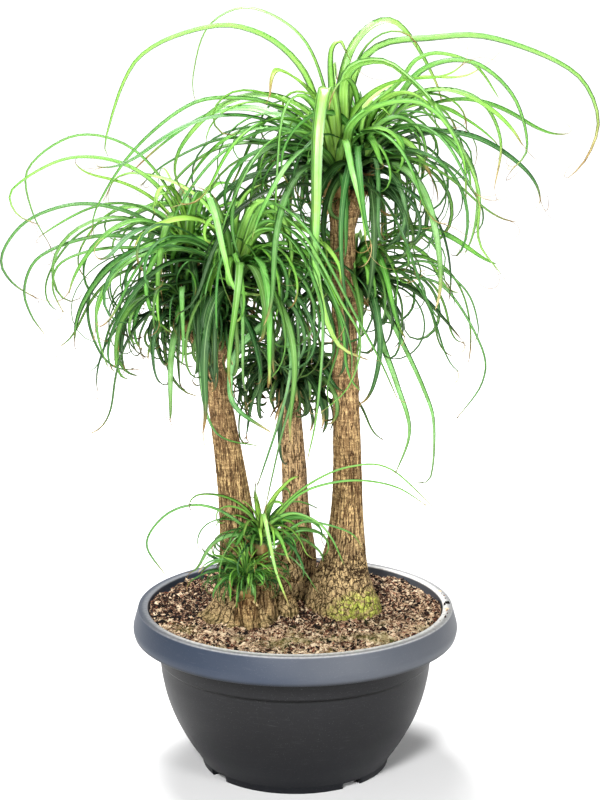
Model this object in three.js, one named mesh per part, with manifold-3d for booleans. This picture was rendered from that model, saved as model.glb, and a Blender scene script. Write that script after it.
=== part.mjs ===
// A potted ponytail palm: three swollen trunks with ten heads of arching strap leaves, two of them
// young offsets, in a shallow round plastic bowl of potting mix. Millimetres, +Z up. The origin is
// the centre of the bowl's foot, on the surface it stands on. The side seen first faces -Y.

import * as THREE from "three";
import { mergeVertices } from "three/addons/utils/BufferGeometryUtils.js";
import Module from "manifold-3d";

const wasm = await Module();
wasm.setup();

// Driving dimensions

const RIM_RADIUS = 200; // the bowl is 400 mm across its rolled rim
const RIM_TOP = 201;
const RIM_SKIRT_FOOT = 166.5; // the rim's skirt hangs down to here
const LIP_RADIUS = 181.6; // inner edge of the rim's flat lip
const STEP_HEIGHT = 138; // the wall steps out a little here
const WALL = 3; // plastic wall
const FOOT_RADIUS = 115;
const FOOT_HEIGHT = 9;
const FLOOR_TOP = 11;
const SOIL_LEVEL = 189; // in the middle
const SOIL_DISH = 6.5; // the mix rises by so much towards the rim
const SOIL_GAP = 0.4; // between the mix and the plastic
const SEAT_GAP = 0.3; // between pieces that touch
const HOLE_GAP = 0.5; // round a foot in its hole in the mix
const ROUND_SIDES = 36; // sides of the bowl
const MIX_SIDES = ROUND_SIDES / 2; // its corners lie against every second corner of the wall
const TRUNK_SIDES = 14;
const STEM_SIDES = 8;

const LEAF_STEPS = 48; // steps along a leaf's centreline
const BLADE_DEPTH = 1.5; // from a faceted blade's flat top to its keel
const FEWEST_SPANS = 3; // a faceted blade has this many spans, and one more
const SPAN_LENGTH = 121; // for every so many millimetres of leaf, up to
const MOST_SPANS = 8; // this many
const TRIES = 60; // draws for one leaf before it is left out
const LEAF_GAP = 2.4; // least space between leaves, and between a leaf and a trunk
const CROWDED = 30; // leaves of one head may touch within this distance of their root
const LOWEST_LEAF = 196; // no leaf hangs below this over the mix
const LOWEST_OUTSIDE = 204; // or below this over the rim and beyond
const TALLEST_LEAF = 932; // and none rises above this
const CORE_SIDES = 6;
const ARCH_SHARE = 0.78; // of a leaf's length, over which it arches, before it hangs
const GOLDEN_ANGLE = 137.508; // degrees between one leaf and the next round a crown
const FIRST_LARGE = 60; // a head's large leaves are numbered from here, after those by the rule
const WIDEN_STRAY = 6; // each new attempt at a large leaf may stray this much further in depth

// Materials

const plastic = new THREE.MeshStandardMaterial({ color: 0x4a4e53, roughness: 0.5, metalness: 0 });
const pottingMix = new THREE.MeshStandardMaterial({ color: 0x5e4636, roughness: 1, metalness: 0 });
const bark = new THREE.MeshStandardMaterial({ color: 0x9c7c5a, roughness: 0.9, metalness: 0 });
const leafGreen = new THREE.MeshStandardMaterial({ color: 0x3f8a35, roughness: 0.45, metalness: 0 });

const group = new THREE.Group();

// Solids to and from manifold-3d

function solidOf(geometry) {
  const bare = new THREE.BufferGeometry();
  const source = geometry.index ? geometry.toNonIndexed() : geometry;
  bare.setAttribute("position", source.getAttribute("position"));
  const merged = mergeVertices(bare, 1e-4);
  const vertProperties = merged.attributes.position.array;
  const triVerts = new Uint32Array(merged.index.array);
  return new wasm.Manifold(new wasm.Mesh({ numProp: 3, vertProperties, triVerts }));
}

function addPiece(name, solid, material) {
  const mesh = solid.getMesh();
  const geometry = new THREE.BufferGeometry();
  geometry.setAttribute("position", new THREE.BufferAttribute(mesh.vertProperties, 3));
  geometry.setIndex(new THREE.BufferAttribute(mesh.triVerts, 1));
  const piece = new THREE.Mesh(geometry, material);
  piece.name = name;
  group.add(piece);
}

// The largest body of a fused solid: what the fusing left loose is dropped.
function mainBody(solid) {
  const bodies = solid.decompose();
  return bodies.reduce((best, body) => (body.volume() > best.volume() ? body : best));
}

// Triangles between two rings of points, facing out. A ring of one point is a tip.
function sleeve(low, high) {
  return low.flatMap((corner, i) => {
    const j = (i + 1) % low.length;
    if (high.length === 1) return [[corner, low[j], high[0]]];
    return [
      [corner, low[j], high[j]],
      [corner, high[j], high[i]],
    ];
  });
}

// A closed skin over a run of rings, with a fan over each end
function skin(rings) {
  const first = rings[0];
  const last = rings[rings.length - 1];
  const faces = rings.slice(1).flatMap((ring, k) => sleeve(rings[k], ring));
  for (let i = 1; i + 1 < first.length; i++) faces.push([first[0], first[i + 1], first[i]]);
  for (let i = 1; i + 1 < last.length; i++) faces.push([last[0], last[i], last[i + 1]]);
  const positions = faces.flat().flatMap((point) => point.toArray());
  const geometry = new THREE.BufferGeometry();
  geometry.setAttribute("position", new THREE.Float32BufferAttribute(positions, 3));
  return solidOf(geometry);
}

function lathe(profile, sides) {
  const points = profile.map(([radius, height]) => new THREE.Vector2(radius, height));
  const geometry = new THREE.LatheGeometry(points, sides);
  geometry.rotateX(Math.PI / 2);
  return solidOf(geometry);
}

const radians = (degrees) => (degrees * Math.PI) / 180;
const clamp01 = (value) => Math.min(1, Math.max(0, value));
const easeInOut = (share) => share * share * (3 - 2 * share);
const between = (from, to, share) => from + (to - from) * share;

// Pot: a bowl on a notched foot, with a flat lip whose skirt slopes out and stands clear of the wall

const bowlWall = [
  [117, FOOT_HEIGHT],
  [134.5, 35],
  [150, 64],
  [160, 92],
  [167, STEP_HEIGHT - 1],
  [169.5, STEP_HEIGHT + 1],
  [172.5, RIM_SKIRT_FOOT],
  [182.5, RIM_TOP - 12],
];

function makePot() {
  const padRadius = 18;
  const footWidth = 7;
  const underside = 6;
  const outside = [
    [0, 0],
    [padRadius, 0],
    [padRadius + 2, underside],
    [FOOT_RADIUS - footWidth - 2, underside],
    [FOOT_RADIUS - footWidth, 0],
    [FOOT_RADIUS, 0],
    ...bowlWall,
  ];
  const rim = [
    [LIP_RADIUS + WALL, RIM_TOP - WALL],
    [RIM_RADIUS - 9.5, RIM_TOP - WALL],
    [RIM_RADIUS - 4, RIM_SKIRT_FOOT + 11],
    [RIM_RADIUS - 5.5, RIM_SKIRT_FOOT],
    [RIM_RADIUS - 2.5, RIM_SKIRT_FOOT],
    [RIM_RADIUS, RIM_SKIRT_FOOT + 9],
    [RIM_RADIUS - 7, RIM_TOP],
    [LIP_RADIUS, RIM_TOP],
  ];
  const inside = bowlInside().reverse();
  const shell = lathe([...outside, ...rim, ...inside, [0, FLOOR_TOP]], ROUND_SIDES);
  return cutFoot(shell);
}

// The bowl's inner wall from the floor up, a wall's thickness inside the outer one
function bowlInside() {
  const withoutStep = bowlWall.filter(([, height]) => height !== STEP_HEIGHT + 1);
  return withoutStep.map(([radius, height]) => [
    radius - WALL,
    height === FOOT_HEIGHT ? FLOOR_TOP : height + 1.5,
  ]);
}

// Four notches let water out under the foot, and four drain holes go through the floor.
function cutFoot(shell) {
  const notchAngles = [-53.5, 36.5, 126.5, 216.5];
  const notchWidth = 27;
  const drainRadius = 6;
  const drainRing = 88;
  let cut = shell;
  for (const angle of notchAngles) {
    const notch = new THREE.BoxGeometry(24, notchWidth, 2 * (FOOT_HEIGHT - 2));
    notch.translate(FOOT_RADIUS - 3, 0, 0);
    notch.rotateZ(radians(angle));
    cut = cut.subtract(solidOf(notch));
    const drain = new THREE.CylinderGeometry(drainRadius, drainRadius, 4 * FLOOR_TOP, 12);
    drain.rotateX(Math.PI / 2);
    drain.translate(drainRing, 0, 0);
    drain.rotateZ(radians(angle));
    cut = cut.subtract(solidOf(drain));
  }
  return cut;
}

// Trunks: a list of stations from the buried foot up, each [x, y, z, radius], and the share by which
// the swollen base bulges into lobes round the trunk

const trunks = {
  right: {
    stations: [
      [58, 16, 125, 24],
      [61, 16, 186, 46],
      [60, 16, 205, 43],
      [58, 16, 228, 35],
      [61, 16, 250, 28],
      [63, 16, 285, 22.5],
      [64, 16, 330, 18.5],
      [63, 15, 400, 16.5],
      [60, 15, 500, 15],
      [58, 15, 590, 14.4],
      [56, 15, 678, 14.4],
    ],
    lobes: 0.05,
    lobeCount: 5,
    lobeTurn: 40,
  },
  left: {
    stations: [
      [-66, -14, 125, 24],
      [-67, -16, 187, 48],
      [-66, -15, 198, 42],
      [-65, -14, 212, 34],
      [-65, -13, 228, 28.5],
      [-67, -11, 258, 24],
      [-70, -9, 300, 21],
      [-75, -8, 350, 18.6],
      [-82, -8, 400, 16.2],
      [-92, -8, 465, 14],
      [-102, -8, 526, 13.6],
    ],
    lobes: 0.08,
    lobeCount: 6,
    lobeTurn: 10,
  },
  middle: {
    stations: [
      [-10, 64, 125, 18],
      [-10, 64, 186, 32],
      [-8, 66, 212, 31],
      [-2, 69, 240, 26.5],
      [1, 70, 268, 20.5],
      [0, 70, 310, 16.4],
      [-2, 70, 360, 15],
      [-6, 70, 410, 14.2],
      [-8, 70, 442, 14.4],
    ],
    lobes: 0.05,
    lobeCount: 5,
    lobeTurn: 75,
  },
};

// Stems that grow out of a trunk and carry one head each, from inside the trunk up to the head. The
// last three grow from the left trunk's swollen foot: a bare knee, and the stubs of two young offsets.
const stems = [
  { trunk: "right", stations: [[56, 15, 655, 12], [51, 13, 690, 12], [49, 12, 702, 12]] },
  { trunk: "right", stations: [[57, 16, 645, 9], [69, 22, 690, 10], [79, 25, 714, 11]] },
  { trunk: "right", stations: [[59, 16, 520, 8], [67, 38, 556, 9], [72, 50, 574, 10]] },
  { trunk: "left", stations: [[-99, -8, 500, 10], [-85, -15, 548, 11], [-71, -20, 578, 12]] },
  { trunk: "left", stations: [[-99, -8, 500, 9], [-116, 14, 562, 10], [-128, 30, 602, 11]] },
  { trunk: "left", stations: [[-98, -8, 495, 8], [-118, -14, 532, 8], [-129, -17, 546, 9]] },
  { trunk: "left", stations: [[-97, -8, 490, 7], [-86, -28, 522, 7], [-80, -38, 536, 7.5]] },
  {
    trunk: "left",
    stations: [[-18, -8, 150, 15], [-11, -12, 190, 15], [-10, -10, 206, 11], [-12, -8, 214, 5]],
  },
  {
    trunk: "left",
    stations: [[-34, -24, 150, 20], [-37, -25, 190, 18], [-41, -31, 235, 12.5], [-41, -36, 276, 10]],
  },
  {
    trunk: "left",
    stations: [[-57, -42, 150, 22], [-58, -48, 186, 19], [-59, -54, 212, 13.5], [-59, -58, 229, 11.5]],
  },
];

// Rings round a run of stations. The lobes show where the radius is well over the thinnest one.
function stationRings(stations, sides, lobes = 0, lobeCount = 5, lobeTurn = 0) {
  const slimmest = Math.min(...stations.map((station) => station[3]));
  return stations.map(([x, y, z, radius]) => {
    const swell = clamp01((radius - slimmest) / slimmest);
    return Array.from({ length: sides }, (_, i) => {
      const angle = (i / sides) * 2 * Math.PI;
      const lobe = 1 + lobes * swell * Math.cos(lobeCount * (angle - radians(lobeTurn)));
      return new THREE.Vector3(
        x + radius * lobe * Math.cos(angle),
        y + radius * lobe * Math.sin(angle),
        z,
      );
    });
  });
}

// Stations made wider all round, and deeper at the foot
function widened(stations, extra) {
  return stations.map(([x, y, z, radius], k) => [x, y, k === 0 ? z - extra : z, radius + extra]);
}

function trunkSolid(name, extra) {
  const { stations, lobes, lobeCount, lobeTurn } = trunks[name];
  const trunkRings = stationRings(widened(stations, extra), TRUNK_SIDES, lobes, lobeCount, lobeTurn);
  let solid = skin(trunkRings);
  for (const stem of stems.filter((candidate) => candidate.trunk === name)) {
    solid = solid.add(skin(stationRings(widened(stem.stations, extra), STEM_SIDES)));
  }
  return solid;
}

// Potting mix: fills the bowl, with an uneven top and a hole round each trunk's foot

function mixHeight(x, y) {
  const dish = SOIL_DISH * (Math.hypot(x, y) / LIP_RADIUS) ** 4;
  return (
    SOIL_LEVEL +
    dish +
    2.2 * Math.sin(x / 31 + 1.3) * Math.cos(y / 27) +
    1.4 * Math.sin(x / 13 + y / 17 + 0.6)
  );
}

function makeMix() {
  const rings = bowlInside()
    .slice(0, -1)
    .map(([radius, height]) => {
      const lift = height === FLOOR_TOP ? SOIL_GAP : 0;
      return ringAt(radius - SOIL_GAP, () => height + lift);
    });
  const topShares = [1, 0.8, 0.56, 0.3];
  const [topRadius] = bowlInside().at(-1);
  for (const share of topShares) rings.push(ringAt((topRadius - SOIL_GAP) * share, mixHeight));
  rings.push([new THREE.Vector3(0, 0, mixHeight(0, 0))]);
  return skin(rings);
}

function ringAt(radius, heightAt) {
  return Array.from({ length: MIX_SIDES }, (_, i) => {
    const angle = (i / MIX_SIDES) * 2 * Math.PI;
    const x = radius * Math.cos(angle);
    const y = radius * Math.sin(angle);
    return new THREE.Vector3(x, y, heightAt(x, y));
  });
}

// Heads: rosettes of leaves round a small core on the end of a stem. A head's leaves go from the
// low outer ones to the upright inner ones. Lengths and widths in millimetres, angles in degrees.

const heads = {
  tall_main: {
    seed: 11,
    base: [49, 12, 702],
    core: [15, 46],
    leaves: 32,
    length: [170, 330],
    width: 12.5,
  },
  tall_side: {
    seed: 12,
    base: [79, 25, 714],
    core: [13.5, 42],
    leaves: 28,
    length: [140, 280],
    width: 11.5,
  },
  tall_back: {
    seed: 13,
    base: [72, 50, 574],
    core: [12.5, 36],
    leaves: 24,
    length: [110, 230],
    width: 10.5,
  },
  left_main: {
    seed: 14,
    base: [-71, -20, 578],
    core: [15, 46],
    leaves: 30,
    length: [140, 290],
    width: 12.5,
  },
  left_back: {
    seed: 15,
    base: [-128, 30, 602],
    core: [13, 40],
    leaves: 24,
    length: [130, 270],
    width: 10.5,
  },
  left_low: {
    seed: 16,
    base: [-129, -17, 546],
    core: [11, 32],
    leaves: 18,
    length: [80, 190],
    width: 9.5,
  },
  left_inner: {
    seed: 17,
    base: [-80, -38, 536],
    core: [8, 22],
    leaves: 10,
    length: [50, 110],
    width: 9,
  },
  middle: {
    seed: 18,
    base: [-8, 70, 442],
    core: [15, 44],
    leaves: 26,
    length: [60, 145],
    width: 11,
  },
  offset_large: {
    seed: 19,
    base: [-41, -36, 276],
    core: [10, 30],
    leaves: 14,
    length: [60, 125],
    width: 8.5,
    lift: 25,
  },
  offset_small: {
    seed: 20,
    base: [-59, -58, 229],
    core: [9.5, 24],
    leaves: 26,
    length: [38, 88],
    width: 6,
    lift: 42,
  },
};

// Large leaves that the front view shows one by one. Forward is how far a leaf comes towards the
// front on its way, less than nothing being away from it, and roll turns its face. The route is read
// off the front view, across from its left edge and down from its top, from near the root to the tip.
const large = (width, forward, roll, route) => ({ width, forward, roll, route });

const largeLeaves = {
  tall_main: [
    large(9, 40, 40, [[318, 110], [300, 67], [262, 35], [210, 27], [138, 59], [106, 138], [109, 159]]),
    large(9, -60, 35, [[325, 95], [300, 36], [249, 8], [208, 27], [193, 76], [195, 103]]),
    large(9, 30, 40, [[305, 128], [275, 107], [241, 99], [191, 105], [134, 151], [96, 210], [94, 239]]),
    large(9, -40, 40, [[300, 148], [264, 142], [220, 140], [168, 163], [140, 186]]),
    large(17, 120, 0, [
      [334, 120], [327, 86], [319, 130], [317, 200], [317, 275], [336, 341], [370, 361],
    ]),
    large(11, 90, 10, [[322, 120], [300, 96], [283, 118], [276, 200], [272, 271]]),
    large(11, 100, 0, [[344, 140], [352, 172], [362, 210], [366, 244]]),
    large(10, 110, 20, [[312, 138], [283, 135], [254, 160], [223, 228], [221, 275], [235, 314]]),
    large(9, 60, 30, [[310, 142], [270, 130], [215, 160], [171, 225], [161, 283], [165, 308]]),
    large(12.5, 15, 0, [[337, 140], [332, 90], [331, 52], [340, 41], [347, 54]]),
    large(15, -30, -20, [
      [339, 140], [341, 95], [351, 52], [371, 27], [393, 22], [415, 45], [436, 84],
      [442, 104],
    ]),
    large(14, 80, -20, [
      [343, 125], [344, 85], [353, 68], [375, 62], [397, 70], [437, 111], [476, 184],
      [478, 241], [502, 275],
    ]),
    large(12, 105, -20, [
      [346, 145], [350, 128], [365, 113], [385, 105], [406, 102], [425, 106], [446, 125],
      [463, 160], [466, 205],
    ]),
    large(10, 30, -35, [
      [344, 130], [352, 85], [362, 61], [384, 44], [425, 39], [490, 38], [572, 71],
      [598, 118], [586, 159], [566, 180],
    ]),
    large(11, 10, -30, [[347, 142], [369, 111], [400, 83], [416, 61], [440, 54], [475, 66], [500, 100]]),
  ],
  tall_side: [
    large(9, 60, -35, [[384, 125], [420, 72], [470, 62], [512, 95], [527, 147], [509, 173]]),
    large(11, 40, -10, [[366, 152], [371, 136], [384, 122], [402, 118], [420, 132], [428, 158]]),
    large(10, 25, 10, [[364, 150], [362, 128], [368, 112], [381, 108], [392, 118]]),
    large(10, 20, -30, [[382, 128], [430, 92], [478, 100], [500, 140], [494, 190]]),
  ],
  tall_back: [
    large(11, 20, 30, [[372, 262], [395, 242], [417, 233], [436, 250], [446, 285]]),
    large(7, 30, -30, [[385, 275], [425, 262], [465, 290], [478, 326], [474, 345]]),
    large(7, -30, -30, [[385, 280], [440, 285], [480, 345], [482, 382], [454, 422]]),
    large(11, 110, -15, [[378, 300], [400, 341], [423, 390], [433, 424], [430, 478], [412, 482]]),
    large(11, 90, -10, [[372, 306], [382, 345], [396, 384], [409, 431], [394, 477]]),
  ],
  left_main: [
    large(10, 50, 30, [[215, 262], [180, 250], [134, 260], [101, 295], [98, 333], [109, 371]]),
    large(15, 70, 15, [[232, 265], [217, 262], [205, 300], [201, 371], [216, 432], [262, 447]]),
    large(13, 45, -15, [
      [236, 262], [241, 235], [250, 212], [263, 202], [281, 217], [291, 250], [286, 290],
    ]),
    large(13, 25, 15, [[231, 262], [228, 240], [220, 215], [213, 198], [204, 190]]),
    large(11, 10, 0, [[234, 262], [234, 238], [237, 213], [247, 193], [262, 184]]),
    large(13, 110, -15, [[255, 236], [289, 238], [316, 290], [322, 333], [316, 415], [306, 466]]),
    large(12, 75, -10, [[256, 262], [275, 266], [284, 333], [290, 360], [282, 407], [256, 490]]),
    large(10, 55, -10, [[262, 272], [290, 283], [298, 349], [293, 391], [280, 440], [264, 514]]),
    large(11, 125, -20, [[262, 225], [300, 240], [337, 306], [351, 349], [351, 382]]),
    large(11, 150, -20, [[262, 215], [300, 232], [341, 303], [360, 340], [349, 386], [316, 417]]),
    large(11, 170, -20, [[262, 208], [305, 228], [357, 319], [380, 361], [400, 405]]),
    large(12, 60, -10, [[254, 300], [267, 318], [240, 345], [230, 374], [235, 407], [273, 434]]),
  ],
  left_back: [
    large(7, 0, 35, [[170, 195], [130, 148], [76, 136], [29, 168], [32, 210], [52, 249]]),
    large(7, 40, 35, [[168, 200], [125, 165], [67, 159], [13, 189], [17, 214], [38, 224]]),
    large(9, 20, 40, [[160, 232], [125, 212], [76, 205], [27, 222], [2, 256], [11, 281], [39, 300]]),
    large(9, 50, 40, [[158, 244], [99, 237], [42, 256], [25, 287], [31, 314], [46, 336]]),
    large(9, 70, 30, [[160, 252], [107, 249], [63, 262], [53, 287], [64, 314]]),
    large(13, 110, 10, [[192, 215], [203, 192], [214, 212], [224, 255], [236, 290], [272, 296]]),
  ],
  offset_large: [
    large(7, 10, 35, [[250, 532], [219, 511], [190, 506], [163, 518], [147, 545], [167, 577]]),
    large(7.5, 45, 20, [[250, 538], [236, 538], [222, 560], [218, 590]]),
    large(6.5, 55, 0, [[263, 513], [270, 545], [277, 575], [290, 608]]),
    large(7.5, 30, -25, [[276, 553], [290, 557], [303, 570], [318, 592]]),
    large(8, 45, -25, [[272, 523], [293, 514], [316, 522], [331, 538], [344, 565]]),
    large(7, 15, -30, [[277, 537], [293, 528], [310, 522], [350, 533], [364, 552]]),
    large(6.5, 25, -30, [[280, 515], [305, 492], [350, 481], [395, 487], [430, 508]]),
    large(6.5, 0, -30, [[280, 510], [312, 483], [350, 467], [390, 469], [437, 511]]),
    large(8, 5, -25, [[276, 545], [290, 535], [305, 531], [327, 535]]),
  ],
};

// The front view is taken from a point before the plant, looking down on it a little. A place in the
// view and a distance behind the front give the one point that is seen there.
const view = { distance: 2400, height: 1000, down: 11.8, scale: 2039, across: 295.3, middle: 367 };

function seenPoint([across, down], y) {
  const tilt = radians(view.down);
  const side = (across - view.across) / view.scale;
  const lift = (view.middle - down) / view.scale;
  const forward = Math.cos(tilt) + lift * Math.sin(tilt);
  const reach = (y + view.distance) / forward;
  const z = view.height + reach * (lift * Math.cos(tilt) - Math.sin(tilt));
  return new THREE.Vector3(side * reach, y, z);
}

// Seeded draws between 0 and 1, the same in every run
function drawsFrom(seed) {
  let state = seed >>> 0;
  return () => {
    state = (state + 0x6d2b79f5) >>> 0;
    let mixed = Math.imul(state ^ (state >>> 15), state | 1);
    mixed ^= mixed + Math.imul(mixed ^ (mixed >>> 7), mixed | 61);
    return ((mixed ^ (mixed >>> 14)) >>> 0) / 4294967296;
  };
}

// Each attempt at each leaf of each head has draws of its own.
function seedOf(head, index, attempt) {
  return (head.seed * 100 + index) * 100 + attempt;
}

// One leaf by the rule: rank goes from 0 for the lowest outer leaf to 1 for the innermost
function drawLeaf(head, index, attempt) {
  const draw = drawsFrom(seedOf(head, index, attempt));
  const spread = () => 2 * draw() - 1;
  const rank = (index + 0.5) / head.leaves;
  const crowd = attempt / TRIES;
  const [shortest, longest] = head.length;
  const { lift = 0 } = head; // a small crown's leaves stand up more
  const middling = Math.sin(Math.PI * (0.25 + 0.6 * rank));
  const young = clamp01((rank - 0.78) / 0.2); // the innermost still stand nearly straight
  return {
    heading: index * GOLDEN_ANGLE + head.seed * 40 + 22 * spread(),
    rise: between(15, 80, rank ** 0.8) + lift * (1 - rank) + 12 * spread(),
    bend: between(between(118, 148, rank), 90, young) - lift + 40 * spread(),
    curl: 110 * spread(),
    drift: 35 * spread(),
    roll: 30 * spread(),
    twist: 60 * spread(),
    length: between(shortest, longest, middling) * (1 + 0.15 * spread()) * (1 - 0.6 * crowd),
    width: head.width * (1 + 0.15 * spread()),
    rootShare: 0.15 + 0.6 * rank,
  };
}

// The way along such a leaf: it rises from the core, bends down under its weight and curls at the tip
function arcLine(head, leaf) {
  const [x, y, z] = head.base;
  const [, coreHeight] = head.core;
  const points = [new THREE.Vector3(x, y, z + coreHeight * leaf.rootShare)];
  const step = leaf.length / LEAF_STEPS;
  for (let k = 0; k < LEAF_STEPS; k++) {
    const share = (k + 0.5) / LEAF_STEPS;
    const bent = between(share, easeInOut(clamp01(share / ARCH_SHARE)), 0.55);
    const tip = clamp01((share - 0.75) / 0.25);
    const slope = radians(leaf.rise - leaf.bend * bent - leaf.curl * tip * tip);
    const heading = radians(leaf.heading + leaf.drift * share * share);
    const flat = Math.cos(slope) * step;
    const last = points[k];
    points.push(
      new THREE.Vector3(
        last.x + flat * Math.cos(heading),
        last.y + flat * Math.sin(heading),
        last.z + Math.sin(slope) * step,
      ),
    );
  }
  return points;
}

// The way along a large leaf: a smooth curve through its route, cut into equal steps
function routeLine(head, leaf, number, attempt) {
  const [x, y, z] = head.base;
  const [, coreHeight] = head.core;
  const draw = drawsFrom(seedOf(head, FIRST_LARGE + number, attempt));
  const stray = WIDEN_STRAY * attempt * (2 * draw() - 1);
  const root = new THREE.Vector3(x, y, z + coreHeight * 0.5);
  const knots = [root];
  leaf.route.forEach((place, k) => {
    const share = Math.min(1, (k + 1) / (0.6 * leaf.route.length));
    const ahead = (leaf.forward + stray) * Math.sin((Math.PI / 2) * share);
    knots.push(seenPoint(place, y - ahead));
  });
  return evenSteps(smoothLine(knots));
}

// Catmull-Rom curve through the knots, straight on past the two ends
function smoothLine(knots) {
  const perSpan = 16;
  const last = knots.length - 1;
  const before = knots[0].clone().multiplyScalar(2).sub(knots[1]);
  const after = knots[last].clone().multiplyScalar(2).sub(knots[last - 1]);
  const all = [before, ...knots, after];
  const points = [];
  for (let k = 0; k < last; k++) {
    const [a, b, c, d] = all.slice(k, k + 4);
    for (let i = 0; i < perSpan; i++) points.push(betweenKnots(a, b, c, d, i / perSpan));
  }
  points.push(knots[last].clone());
  return points;
}

function betweenKnots(a, b, c, d, t) {
  const cubic = (p, q, r, s) =>
    q + 0.5 * t * (r - p + t * (2 * p - 5 * q + 4 * r - s + t * (3 * (q - r) + s - p)));
  return new THREE.Vector3(
    cubic(a.x, b.x, c.x, d.x),
    cubic(a.y, b.y, c.y, d.y),
    cubic(a.z, b.z, c.z, d.z),
  );
}

function evenSteps(points) {
  const travelled = [0];
  for (let k = 1; k < points.length; k++) {
    travelled.push(travelled[k - 1] + points[k].distanceTo(points[k - 1]));
  }
  const length = travelled[points.length - 1];
  let k = 0;
  return Array.from({ length: LEAF_STEPS + 1 }, (_, i) => {
    const target = (length * i) / LEAF_STEPS;
    while (k < points.length - 2 && travelled[k + 1] < target) k++;
    const share = (target - travelled[k]) / (travelled[k + 1] - travelled[k]);
    return points[k].clone().lerp(points[k + 1], clamp01(share));
  });
}

// Unit vectors across the leaf at every step, carried along without turning round it, then rolled
function acrossLine(line, roll, twist) {
  const tangents = line.map((_, k) => {
    const ahead = line[Math.min(k + 1, LEAF_STEPS)];
    const behind = line[Math.max(k - 1, 0)];
    return ahead.clone().sub(behind).normalize();
  });
  const [first] = tangents;
  let across = new THREE.Vector3(-first.y, first.x, 0).normalize();
  return tangents.map((tangent, k) => {
    across = across.clone().addScaledVector(tangent, -across.dot(tangent)).normalize();
    const angle = radians(roll + twist * (k / LEAF_STEPS));
    return { tangent, across: across.clone().applyAxisAngle(tangent, angle) };
  });
}

// Share of the full width: it widens out of the sheath and tapers to a thread at the tip
function leafTaper(share) {
  const sheath = 0.72 + 0.28 * clamp01(share / 0.12);
  return sheath * (1 - clamp01((share - 0.2) / 0.8)) ** 0.52;
}

// Steps at which a faceted blade has its rings: closer together where the leaf bends more
function ringSteps(frames, count) {
  const travelled = [0];
  for (let k = 1; k <= LEAF_STEPS; k++) {
    const turn = frames[k].tangent.angleTo(frames[k - 1].tangent);
    travelled.push(travelled[k - 1] + 1 / LEAF_STEPS + turn / 2.5);
  }
  const total = travelled[LEAF_STEPS];
  return Array.from({ length: count + 1 }, (_, i) => {
    if (i === count) return LEAF_STEPS;
    return travelled.findIndex((value) => value >= (total * i) / count - 1e-9);
  });
}

// Rings of a faceted blade: flat on top with a keel below, and a point at the tip
function bladeRings(line, frames, width, extra) {
  const length = line[0].distanceTo(line[1]) * LEAF_STEPS;
  const count = Math.min(MOST_SPANS, FEWEST_SPANS + Math.round(length / SPAN_LENGTH));
  return ringSteps(frames, count).map((k, i) => {
    const share = k / LEAF_STEPS;
    const { tangent, across } = frames[k];
    const up = tangent.clone().cross(across);
    if (i === count) return [line[k].clone().addScaledVector(tangent, extra)];
    const half = 0.5 * width * leafTaper(share) + extra;
    const depth = BLADE_DEPTH * (0.55 + 0.45 * leafTaper(share)) + 2 * extra;
    const middle = line[k].clone().addScaledVector(up, extra);
    return [
      middle.clone().addScaledVector(across, half),
      middle.clone().addScaledVector(across, -half),
      middle.clone().addScaledVector(up, -depth),
    ];
  });
}

// Clearance: every blade is wrapped in a slightly larger hull, and two hulls may not meet

function hullOf(rings) {
  const parts = [];
  for (let k = 0; k + 1 < rings.length; k++) {
    const corners = [...rings[k], ...rings[k + 1]];
    const triangles = sleeve(rings[k], rings[k + 1]);
    parts.push({ box: new THREE.Box3().setFromPoints(corners), triangles });
  }
  return boxed(parts);
}

function boxed(parts) {
  const box = new THREE.Box3();
  parts.forEach((part) => box.union(part.box));
  return { box, parts };
}

const ray = new THREE.Ray();
const hit = new THREE.Vector3();

function edgePierces(from, to, [a, b, c]) {
  ray.origin.copy(from);
  ray.direction.copy(to).sub(from).normalize();
  if (!ray.intersectTriangle(a, b, c, false, hit)) return false;
  return hit.distanceTo(from) <= from.distanceTo(to);
}

function trianglesMeet(first, second) {
  for (let i = 0; i < 3; i++) {
    const j = (i + 1) % 3;
    if (edgePierces(first[i], first[j], second)) return true;
    if (edgePierces(second[i], second[j], first)) return true;
  }
  return false;
}

function hullsMeet(first, second) {
  if (!first.box.intersectsBox(second.box)) return false;
  for (const one of first.parts) {
    if (!one.box.intersectsBox(second.box)) continue;
    for (const other of second.parts) {
      if (!one.box.intersectsBox(other.box)) continue;
      for (const a of one.triangles) {
        if (other.triangles.some((b) => trianglesMeet(a, b))) return true;
      }
    }
  }
  return false;
}

// A head's core: the packed leaf bases, seated on the end of its stem
function coreRings({ base, core }, extra) {
  const [x, y, z] = base;
  const [radius, height] = core;
  const profile = [
    [0.85, 0],
    [1, 0.35],
    [0.45, 1],
  ];
  return profile.map(([wide, high]) => {
    const lift = high === 0 ? SEAT_GAP - extra : high * height + extra;
    return Array.from({ length: CORE_SIDES }, (_, i) => {
      const angle = (i / CORE_SIDES) * 2 * Math.PI;
      const reach = radius * wide + extra;
      return new THREE.Vector3(x + reach * Math.cos(angle), y + reach * Math.sin(angle), z + lift);
    });
  });
}

// What stands before any leaf is placed: the trunks with their stems, and the cores, by owner
function standingObstacles() {
  const obstacles = [];
  const wrap = (stations, sides, ...lobes) => {
    const rings = stationRings(widened(stations, LEAF_GAP / 2), sides, ...lobes);
    obstacles.push({ owner: "wood", hull: hullOf(rings) });
  };
  for (const { stations, lobes, lobeCount, lobeTurn } of Object.values(trunks)) {
    wrap(stations, TRUNK_SIDES, lobes, lobeCount, lobeTurn);
  }
  for (const { stations } of stems) wrap(stations, STEM_SIDES);
  for (const [name, head] of Object.entries(heads)) {
    obstacles.push({ owner: name, hull: hullOf(coreRings(head, LEAF_GAP / 2)) });
  }
  return obstacles;
}

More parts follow.
